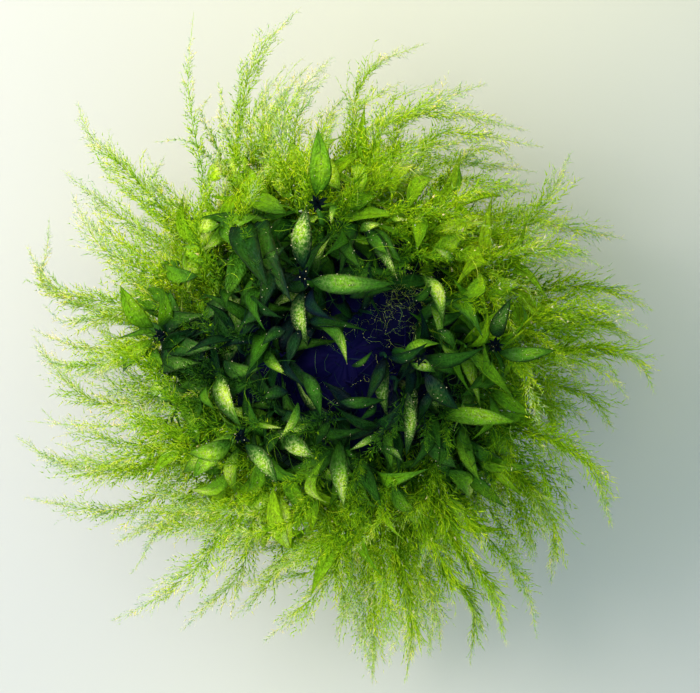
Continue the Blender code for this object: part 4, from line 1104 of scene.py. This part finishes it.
# leaves listed with tones of 0.58 and more show a painted highlight: a darker body and a strong pale lit patch
with_highlight = tone >= 0.58
tone = np.maximum(np.where(with_highlight, tone - 0.18, tone - 0.08), ring_tone((base + tip) / 2) - 0.05)
glow = np.minimum(np.where(with_highlight, 0.42, rng.uniform(0.04, 0.20, len(tone))), 0.95 - tone)
heap.blades(base, tip, normal, width, rise, tone, shade, rows=16, keel=0.30, bend=2.2 * bend, hook=hook, thick=0.055, twist=twist, wave=0.09, form=(0.86, 1.40), glow=glow, glints=0.7)
heap.mesh("small_leaves", blade_look, "leaf")


def leafy_shoot(leaf, stalk, rng, points, count, size, tone, bright=0.12, open0=1.40, open1=0.95, slim=0.240):
    """A short curved stem with leaves round it in a spiral. leaf collects the leaves' values, stalk the stem."""
    path = smooth_route(points, 24)
    tang = unit(np.gradient(path, axis=0))
    s = 0.28 + 0.72 * (np.arange(count) + 0.5) / count
    at = (s * 23).astype(int)
    p, t = path[at], tang[at]
    phi = 2.39996 * np.arange(count) + rng.uniform(0, 6.28) + rng.normal(0, 0.25, count)
    ref = unit(np.cross(t, np.array([0.31, 0.12, 0.94])))
    ref2 = np.cross(t, ref)
    out = ref * np.cos(phi)[:, None] + ref2 * np.sin(phi)[:, None]
    a = open0 + (open1 - open0) * s + rng.normal(0, 0.12, count)
    way = t * np.cos(a)[:, None] + out * np.sin(a)[:, None]
    length = size * rng.uniform(0.75, 1.12, count) * (1.0 - 0.25 * np.clip((s - 0.85) / 0.15, 0, 1))
    tips = p + way * length[:, None]
    # a share, bright, of the leaves gets a strong painted highlight patch, the rest a faint one; tones also vary at
    # random
    lit = rng.uniform(0, 1, count)
    glow = np.where(lit < bright, rng.uniform(0.28, 0.44, count), rng.uniform(0.02, 0.14, count))
    lit = np.where(lit < bright, 0.02, np.where(lit > 0.56, -0.07, 0.0))
    leaf.append((p + way * 0.12, tips, t, length * slim * rng.uniform(0.85, 1.15, count), length * rng.uniform(0.06, 0.15, count), tone + lit + rng.normal(0, 0.03, count), rng.uniform(0.05, 0.78, count), rng.normal(0, 0.14, count) * length, length * rng.uniform(-0.30, 0.12, count), rng.normal(0, 0.4, count), glow))
    stalk.strands(path[None, ::2], np.linspace(0.17, 0.09, 11)[None], np.array([[0.3, 0.2, 0.93]]), (0.55 + 0.30 * np.linspace(0, 1, 12))[None] * ring_tone(path[::2])[None], np.array([0.5]), sides=6)


KEY_LEAVES = [(base, tip, width) for base, tip, width, rise_, roll_ in leaves.values()] + [(values[k][0], values[k][1], values[k][3]) for k in np.flatnonzero(with_highlight | (width >= 1.8))]
KEY_POINTS = np.concatenate([a + (b - a) * np.linspace(0.08, 0.96, 9)[:, None] for a, b, w in KEY_LEAVES])
KEY_WIDTHS = np.repeat([w for a, b, w in KEY_LEAVES], 9)


# Dark gaps between the leaves: middle on the plan, and reach
GAPS = [(404, 296, 19), (384, 338, 27), (354, 374, 18), (293, 290, 11), (322, 402, 13), (282, 340, 13), (452, 392, 9)]


def in_gap(at):
    """Which of these points (N, K, 3) lie over one of the dark gaps."""
    spots = np.array([plan(u, v, 22.5)[:2] for u, v, reach in GAPS])
    reach = np.array([g[2] for g in GAPS]) * SHEET_UNIT
    return (np.linalg.norm(at[:, :, None, :2] - spots, axis=-1) < reach).any(axis=-1) & (at[..., 2] > 14.0)


def covers_key_leaf(base, tip):
    """Which of these leaves would hide one of the leaves that show best, seen from above."""
    t = np.array([0.2, 0.4, 0.6, 0.8, 1.0])[None, :, None]
    at = base[:, None] + (tip - base)[:, None] * t
    near = np.linalg.norm(at[:, :, None, :2] - KEY_POINTS[None, None, :, :2], axis=-1) < 0.5 * KEY_WIDTHS + 0.30
    over = at[:, :, None, 2] > KEY_POINTS[None, None, :, 2] - 0.4
    return (near & over).any(axis=(1, 2))


def write_leaves(name, leaf, slot="leaf", rows=8):
    heap = Heap()
    base, tip, normal, width, rise, tone, shade, bend, hook, twist, glow = (np.concatenate([v[k] for v in leaf]) for k in range(11))
    tip[:, 2] = np.maximum(tip[:, 2], 0.3)
    # a leaf that would hide one of those sits deeper, or isn't there
    for step in (0.7, 0.7, 0.7):
        hides = covers_key_leaf(base, tip)
        inward = unit((base + tip) / 2 - CENTRE) * np.where(hides, step, 0.0)[:, None]
        base, tip = base - inward, tip - inward
    at = base[:, None] + (tip - base)[:, None] * np.array([0.4, 0.6, 0.8, 0.95])[None, :, None]
    clear = ~covers_key_leaf(base, tip) & (in_gap(at).sum(axis=1) < 2)
    base, tip, normal, width, rise, tone, shade, bend, hook, twist, glow = (v[clear] for v in (base, tip, normal, width, rise, tone, shade, bend, hook, twist, glow))
    tone = tone + ring_tone((base + tip) / 2)
    glow = np.minimum(glow, np.maximum(0.78 - tone, 0.03))
    heap.blades(base, tip, normal, width, rise, tone, shade, rows=rows, keel=0.30, bend=bend, hook=hook, thick=0.045, twist=twist, wave=0.09, form=(0.92, 1.65), glow=glow, glints=0.5)
    heap.mesh(name, blade_look, slot)


stalks = Heap()
crown, ring, skirt = [], [], []
rng = np.random.default_rng(41)

# A rosette at the tip of each of the six stems
for name, (points, radii) in stems.items():
    leafy_shoot(crown, stalks, rng, np.concatenate([points, [points[-1] + unit(points[-1] - points[-3]) * 0.5]]), 11, 3.9, -0.02)

# Leafy shoots over the top and shoulders
for k in range(54):
    turn = 2.39996 * k + rng.normal(0, 0.15)
    f = (k + 0.5) / 54
    rise = math.radians(80 - 62 * f**0.8) + rng.normal(0, 0.04)
    root = skin_point(turn, rise, -0.3)
    out = unit(root - CENTRE)
    swirl = np.array((math.sin(turn), -math.cos(turn), 0.0))
    stretch = 1.4 + 2.6 * f + rng.uniform(-0.4, 0.8)
    bent = unit(out + swirl * rng.uniform(0.0, 0.7) + np.array((0, 0, 0.25)))
    points = np.array([root, root + out * stretch * 0.5, root + bent * stretch])
    tone = rng.normal(0, 0.03)
    leafy_shoot(crown if f < 0.45 else ring, stalks, rng, points, 7 + int(3 * f), 3.5 + 0.5 * f + 1.3 * rng.uniform(0, 1), tone, bright=0.12 + 0.06 * f)

# and some round the sides and below
for k in range(34):
    turn = 2.39996 * k + rng.normal(0, 0.2)
    rise = rng.uniform(-0.75, 0.35)
    root = skin_point(turn, rise, -0.3)
    out = unit(root - CENTRE)
    swirl = np.array((math.sin(turn), -math.cos(turn), 0.0))
    stretch = rng.uniform(2.2, 4.2)
    points = np.array([root, root + out * stretch * 0.5, root + unit(out + swirl * 0.5) * stretch])
    leafy_shoot(skirt, stalks, rng, points, 8, rng.uniform(1.9, 2.8), rng.normal(-0.08, 0.03), bright=0.10)

# Small dark buds at each rosette's heart, coloured near black as painted shade where its leaves meet
heap = Heap()
for k, (name, lift) in enumerate([("stem_1", 0.5), ("stem_2", 0.5), ("stem_3", 0.5), ("stem_4", 0.5), ("stem_5", 0.4), ("stem_6", 0.3), (None, 0.0)]):
    middle = stems[name][0][-1] if name else leaves["leaf_05"][0] * 0.30 + leaves["leaf_05"][1] * 0.70
    count = 12
    phi = 2.39996 * np.arange(count) + k
    rise = np.radians(8 + 74 * (np.arange(count) + 0.5) / count)
    way = np.stack([np.cos(rise) * np.cos(phi), np.cos(rise) * np.sin(phi), np.sin(rise)], axis=-1)
    length = rng.uniform(0.42, 0.80, count)
    base = middle + np.array([0.0, 0.0, lift]) + way * 0.05
    heap.blades(base, base + way * length[:, None], np.tile([[0.0, 0.0, 1.0]], (count, 1)), length * 0.42, length * 0.12, rng.uniform(0.04, 0.13, count), rng.uniform(0.2, 0.8, count), rows=4, keel=0.3, thick=0.04, hook=-0.2 * length, form=(0.70, 1.2), glow=np.zeros(count))
heap.mesh("rosette_buds", blade_look, "leaf")

write_leaves("crown_leaves", crown, rows=7)
write_leaves("ring_leaves", ring, rows=6)
write_leaves("skirt_leaves", skirt, rows=5)
stalks.mesh("small_stalks", stem_look, "stem")

# Little fronds that stand between the leaves, and loose filaments across them
heap = Heap()
rng = np.random.default_rng(57)
for k in range(54):
    turn = 2.39996 * k + rng.normal(0, 0.2)
    f = (k + 0.5) / 54
    root = skin_point(turn, math.radians(74 - 38 * f), -0.2)
    out = unit(root - CENTRE)
    swirl = np.array((math.sin(turn), -math.cos(turn), 0.0))
    way = unit(out + swirl * rng.uniform(0.3, 1.1) + np.array((0, 0, 0.10)))
    far = rng.uniform(3.4, 5.2)
    points = np.array([root, root + out * far * 0.45 + swirl * 0.3, root + out * 1.4 + way * far])
    if in_gap(points[None]).any() or math.hypot(points[-1][0] - 8.6, points[-1][1] + 3.9) < 2.6:
        continue
    plume(heap, rng, points, rng.uniform(1.0, 1.5), 6.0, ring_tone(root) + 0.02, ring_tone(points[-1]) + 0.06, 42, 34, 6, 0.52, bare=0.10, fine=0.070)
n = 420
turn = rng.uniform(0, 2 * np.pi, n)
far = 2.5 + 10.0 * np.sqrt(rng.uniform(0, 1, n))
start = np.stack([far * np.cos(turn), far * np.sin(turn) - 0.3, np.zeros(n)], axis=-1)
heading = turn - rng.normal(0.9, 0.9, n)
swing = rng.normal(0, 0.30, n)
stride = rng.uniform(0.20, 0.46, n)
height = rng.uniform(0.1, 1.3, n)
steps, threads = 6, []
here = start.copy()
for i in range(steps + 1):
    r = np.hypot(here[:, 0], here[:, 1] + 0.3) / SHEET_UNIT
    here[:, 2] = 24.0 - 8.6 * (r / 200.0) ** 2.2 + height + 0.25 * np.sin(1.1 * i + 30 * swing)
    threads.append(here.copy())
    heading = heading + swing + rng.normal(0, 0.12, n)
    here = here + np.stack([np.cos(heading), np.sin(heading), np.zeros(n)], axis=-1) * stride[:, None]
threads = np.stack(threads, axis=1)
threads[:, :, 2] = np.minimum(threads[:, :, 2], 26.3)
tone = np.clip(ring_tone(start) + 0.02 + rng.normal(0, 0.14, n), 0.1, 0.93)
heap.strands(threads, rng.uniform(0.009, 0.017, n)[:, None] * np.ones((1, steps)), unit(rng.normal(0, 1, (n, 3))), tone[:, None] * np.ones((1, steps + 1)), rng.uniform(0.2, 0.9, n), sides=3)
heap.mesh("crown_fronds", frond_look, "frond")

# ---------------------------------------------------------------- stems and tangle

for i, (name, (points, radii)) in enumerate(stems.items()):
    heap = Heap()
    spine = smooth_route(deep_root(points, 0.9), 16)[None]
    heap.strands(spine, np.linspace(0.30, 0.16, 15)[None], np.array([[0.3, 0.2, 0.93]]), np.linspace(0.20, 0.40, 16)[None], np.array([0.5]), sides=10)
    heap.mesh(name + "_stalk", stem_look, "stem", name)


def skin_points(directions, depth):
    reach = np.array([tangle_reach(d) for d in directions])
    return CENTRE + directions * (reach + depth)[:, None]


heap = Heap()
rng = np.random.default_rng(5)
rings, segments = 46, 72
rise = np.linspace(-np.pi / 2, np.pi / 2, rings + 1)[1:-1]
turn = np.linspace(0, 2 * np.pi, segments, endpoint=False)
rr, tt = np.meshgrid(rise, turn, indexing="ij")
dirs = np.stack([np.cos(rr) * np.cos(tt), np.cos(rr) * np.sin(tt), np.sin(rr)], axis=-1).reshape(-1, 3)
dirs = np.concatenate([dirs, [[0, 0, -1.0], [0, 0, 1.0]]])
bumps = (0.30 * np.sin(21 * dirs[:, 0] + 5 * dirs[:, 2]) * np.cos(16 * dirs[:, 1]) + rng.normal(0, 0.14, len(dirs))) * np.clip(2.4 * np.hypot(dirs[:, 0], dirs[:, 1]), 0.0, 1.0)
felt = skin_points(dirs, -0.62 + bumps * np.where(dirs[:, 2] < 0.45, 1.35, 1.0))
felt[:, 2] = np.maximum(felt[:, 2], 0.0)
quads = []
for j in range(rings - 2):
    for k in range(segments):
        a, b = j * segments + k, j * segments + (k + 1) % segments
        quads += [(a, b, b + segments), (a, b + segments, a + segments)]
low, high = len(dirs) - 2, len(dirs) - 1
for k in range(segments):
    quads.append((low, (k + 1) % segments, k))
    a = (rings - 2) * segments
    quads.append((a + k, a + (k + 1) % segments, high))


def felt_tone(p):
    """The tone of the tangle at these points: navy at the top, painted shade for the deep gaps between the leaves, dark
    green at the sides and below.
    """
    far = np.hypot(p[..., 0], p[..., 1] + 0.3)
    top = np.interp(far, [4.0, 6.5, 9.5], [0.03, 0.22, 0.38])
    return top + (0.50 - top) * np.clip((14.0 - p[..., 2]) / 5.0, 0, 1)


heap.add(felt, np.array(quads), np.stack([felt_tone(felt) + 0.10 * rng.uniform(0, 1, len(felt)), rng.uniform(0.1, 0.9, len(felt))], axis=-1))


def crawl(n, steps, stride, depth_low, depth_high, bend, rng, about=None, spread=0.2):
    """n wandering threads on the tangle's skin, as (n, steps + 1, 3) points; about is the way to the patch they start in."""
    d = unit(rng.normal(0, 1, (n, 3))) if about is None else unit(unit(np.array(about)) + rng.normal(0, spread, (n, 3)))
    head = unit(np.cross(d, rng.normal(0, 1, (n, 3))))
    depth = rng.uniform(depth_low, depth_high, n)
    swing = rng.normal(0, bend, n)
    out = []
    for i in range(steps + 1):
        p = skin_points(d, depth + 0.25 * np.sin(i * 0.9 + swing * 40))
        p[:, 2] = np.maximum(p[:, 2], 0.06)
        out.append(p)
        angle = swing + rng.normal(0, bend * 0.6, n)
        side = np.cross(d, head)
        head = unit(head * np.cos(angle)[:, None] + side * np.sin(angle)[:, None])
        d = unit(d + head * stride)
        head = unit(head - (head * d).sum(1, keepdims=True) * d)
    return np.stack(out, axis=1)


n = 620
threads = crawl(n, 4, 0.10, -0.75, -0.25, 0.25, rng)
tone = np.clip(felt_tone(threads[:, 2]) + rng.normal(0.12, 0.10, n), 0.02, 0.70)
heap.strands(threads, rng.uniform(0.025, 0.055, n)[:, None] * np.ones((1, 4)), unit(rng.normal(0, 1, (n, 3))), tone[:, None] * np.ones((1, 5)), rng.uniform(0.1, 0.9, n), sides=3)
n = 900
threads = crawl(n, 3, 0.045, 0.0, 0.9, 0.55, rng)
tone = rng.uniform(0.50, 0.86, n)
heap.strands(threads, rng.uniform(0.007, 0.014, n)[:, None] * np.ones((1, 3)), unit(rng.normal(0, 1, (n, 3))), tone[:, None] * np.ones((1, 4)), rng.uniform(0.1, 0.9, n), sides=3)
n = 3200
dirs = unit(rng.normal(0, 1, (n, 3)))
dirs = dirs[dirs[:, 2] < 0.80]
n = len(dirs)
base = skin_points(dirs, -0.75)
lean_ = unit(np.cross(dirs, rng.normal(0, 1, (n, 3))))
tip = base + (dirs * rng.uniform(0.2, 0.9, (n, 1)) + lean_ * rng.uniform(0.4, 1.0, (n, 1))) * np.where(base[:, 2:] < 9.0, rng.uniform(0.8, 2.4, (n, 1)), rng.uniform(0.5, 1.4, (n, 1)))
base[:, 2], tip[:, 2] = np.maximum(base[:, 2], 0.05), np.maximum(tip[:, 2], 0.08)
heap.spikes(base, tip, np.cross(dirs, lean_), rng.uniform(0.05, 0.11, n), np.clip(felt_tone(base) + rng.uniform(0.08, 0.30, n), 0.02, 0.72), rng.uniform(0.1, 0.9, n), flat=0.6)
# dark hairs over the top, in the same painted shade
n = 520
dirs = unit(rng.normal(0, 1, (n, 3)) * np.array([0.46, 0.46, 0.12]) + np.array([0, 0, 1.0]))
base = skin_points(dirs, rng.uniform(-0.80, -0.30, n))
lean_ = unit(np.cross(dirs, rng.normal(0, 1, (n, 3))))
tip = base + (dirs * rng.uniform(0.05, 0.5, (n, 1)) + lean_ * rng.uniform(0.5, 1.0, (n, 1))) * rng.uniform(0.5, 1.6, (n, 1))
heap.spikes(base, tip, np.cross(dirs, lean_), rng.uniform(0.06, 0.16, n), rng.uniform(0.02, 0.30, n), rng.uniform(0.1, 0.9, n), flat=0.6)
heap.mesh("tangle_felt", tangle_look, "tangle", "tangle")

# Short hairs over the tangle's sides, combed the way the fronds turn
heap = Heap()
rng = np.random.default_rng(645)
n = 4500
dirs = unit(rng.normal(0, 1, (n, 3)) * np.array([1.0, 1.0, 0.62]) + np.array([0, 0, -0.16]))
dirs = dirs[dirs[:, 2] < 0.52]
n = len(dirs)
base = skin_points(dirs, rng.uniform(-0.80, -0.35, n))
sweep = unit(np.cross(dirs, np.array([0.0, 0.0, 1.0])) + rng.normal(0, 0.45, (n, 3)) + np.array([0.0, 0.0, -0.35]))
tip = base + (dirs * rng.uniform(0.15, 0.75, (n, 1)) + sweep) * rng.uniform(0.7, 1.7, (n, 1))
base[:, 2], tip[:, 2] = np.maximum(base[:, 2], 0.06), np.maximum(tip[:, 2], 0.10)
patch = 0.5 + 0.5 * np.sin(7 * dirs[:, 0] + 3 * dirs[:, 2]) * np.cos(6 * dirs[:, 1] - 4 * dirs[:, 2])
heap.spikes(base, tip, np.cross(dirs, sweep), rng.uniform(0.11, 0.22, n), 0.34 + 0.16 * patch + rng.uniform(0, 0.20, n), rng.uniform(0.1, 0.9, n), flat=0.5)
heap.mesh("side_hairs", frond_look, "frond")

# Fine pale threads over the dark gaps, with near-white specks on them, and a few on the heart of each rosette; the
# specks are painted glints
heap = Heap()
hearts = np.repeat([points[-1] for points, radii in stems.values()], 5, axis=0)
heart_way = unit(rng.normal(0, 0.8, hearts.shape) + np.array([0.0, 0.0, 1.0]))
hearts = hearts + np.array([0.0, 0.0, 0.5]) + heart_way * rng.uniform(0.25, 0.90, (len(hearts), 1))
heart_size = rng.uniform(0.014, 0.048, len(hearts))
heap.strands(np.stack([hearts - heart_way * heart_size[:, None], hearts, hearts + heart_way * heart_size[:, None]], axis=1), np.stack([heart_size * 0.4, heart_size * 0.8], axis=1), unit(np.cross(heart_way, rng.normal(0, 1, hearts.shape))), np.full((len(hearts), 3), 0.985), rng.uniform(0.7, 0.95, len(hearts)), sides=5)
n = 258
threads = np.concatenate([crawl(200, 5, 0.020, 0.0, 0.9, 0.70, rng, about=(3.6, 3.4, 9.8), spread=0.14), crawl(58, 5, 0.015, 0.0, 0.6, 0.45, rng, about=(0.6, -0.2, 9.8), spread=0.40)])
heap.strands(threads, rng.uniform(0.0020, 0.0042, n)[:, None] * np.ones((1, 5)), unit(rng.normal(0, 1, (n, 3))), rng.uniform(0.66, 0.96, n)[:, None] * np.ones((1, 6)), rng.uniform(0.3, 0.9, n), sides=3)
beads = threads[rng.integers(0, n, 260), rng.integers(1, 5, 260)]
way = unit(rng.normal(0, 1, beads.shape))
size_ = rng.uniform(0.018, 0.038, 260)
heap.strands(np.stack([beads - way * size_[:, None], beads, beads + way * size_[:, None]], axis=1), np.stack([size_ * 0.25, size_ * 0.6], axis=1), unit(np.cross(way, rng.normal(0, 1, beads.shape))), rng.uniform(0.88, 0.99, 260)[:, None] * np.ones((1, 3)), rng.uniform(0.5, 0.95, 260), sides=4)
heap.mesh("gap_threads", frond_look, "frond")

# ---------------------------------------------------------------- update

bpy.context.view_layer.update()
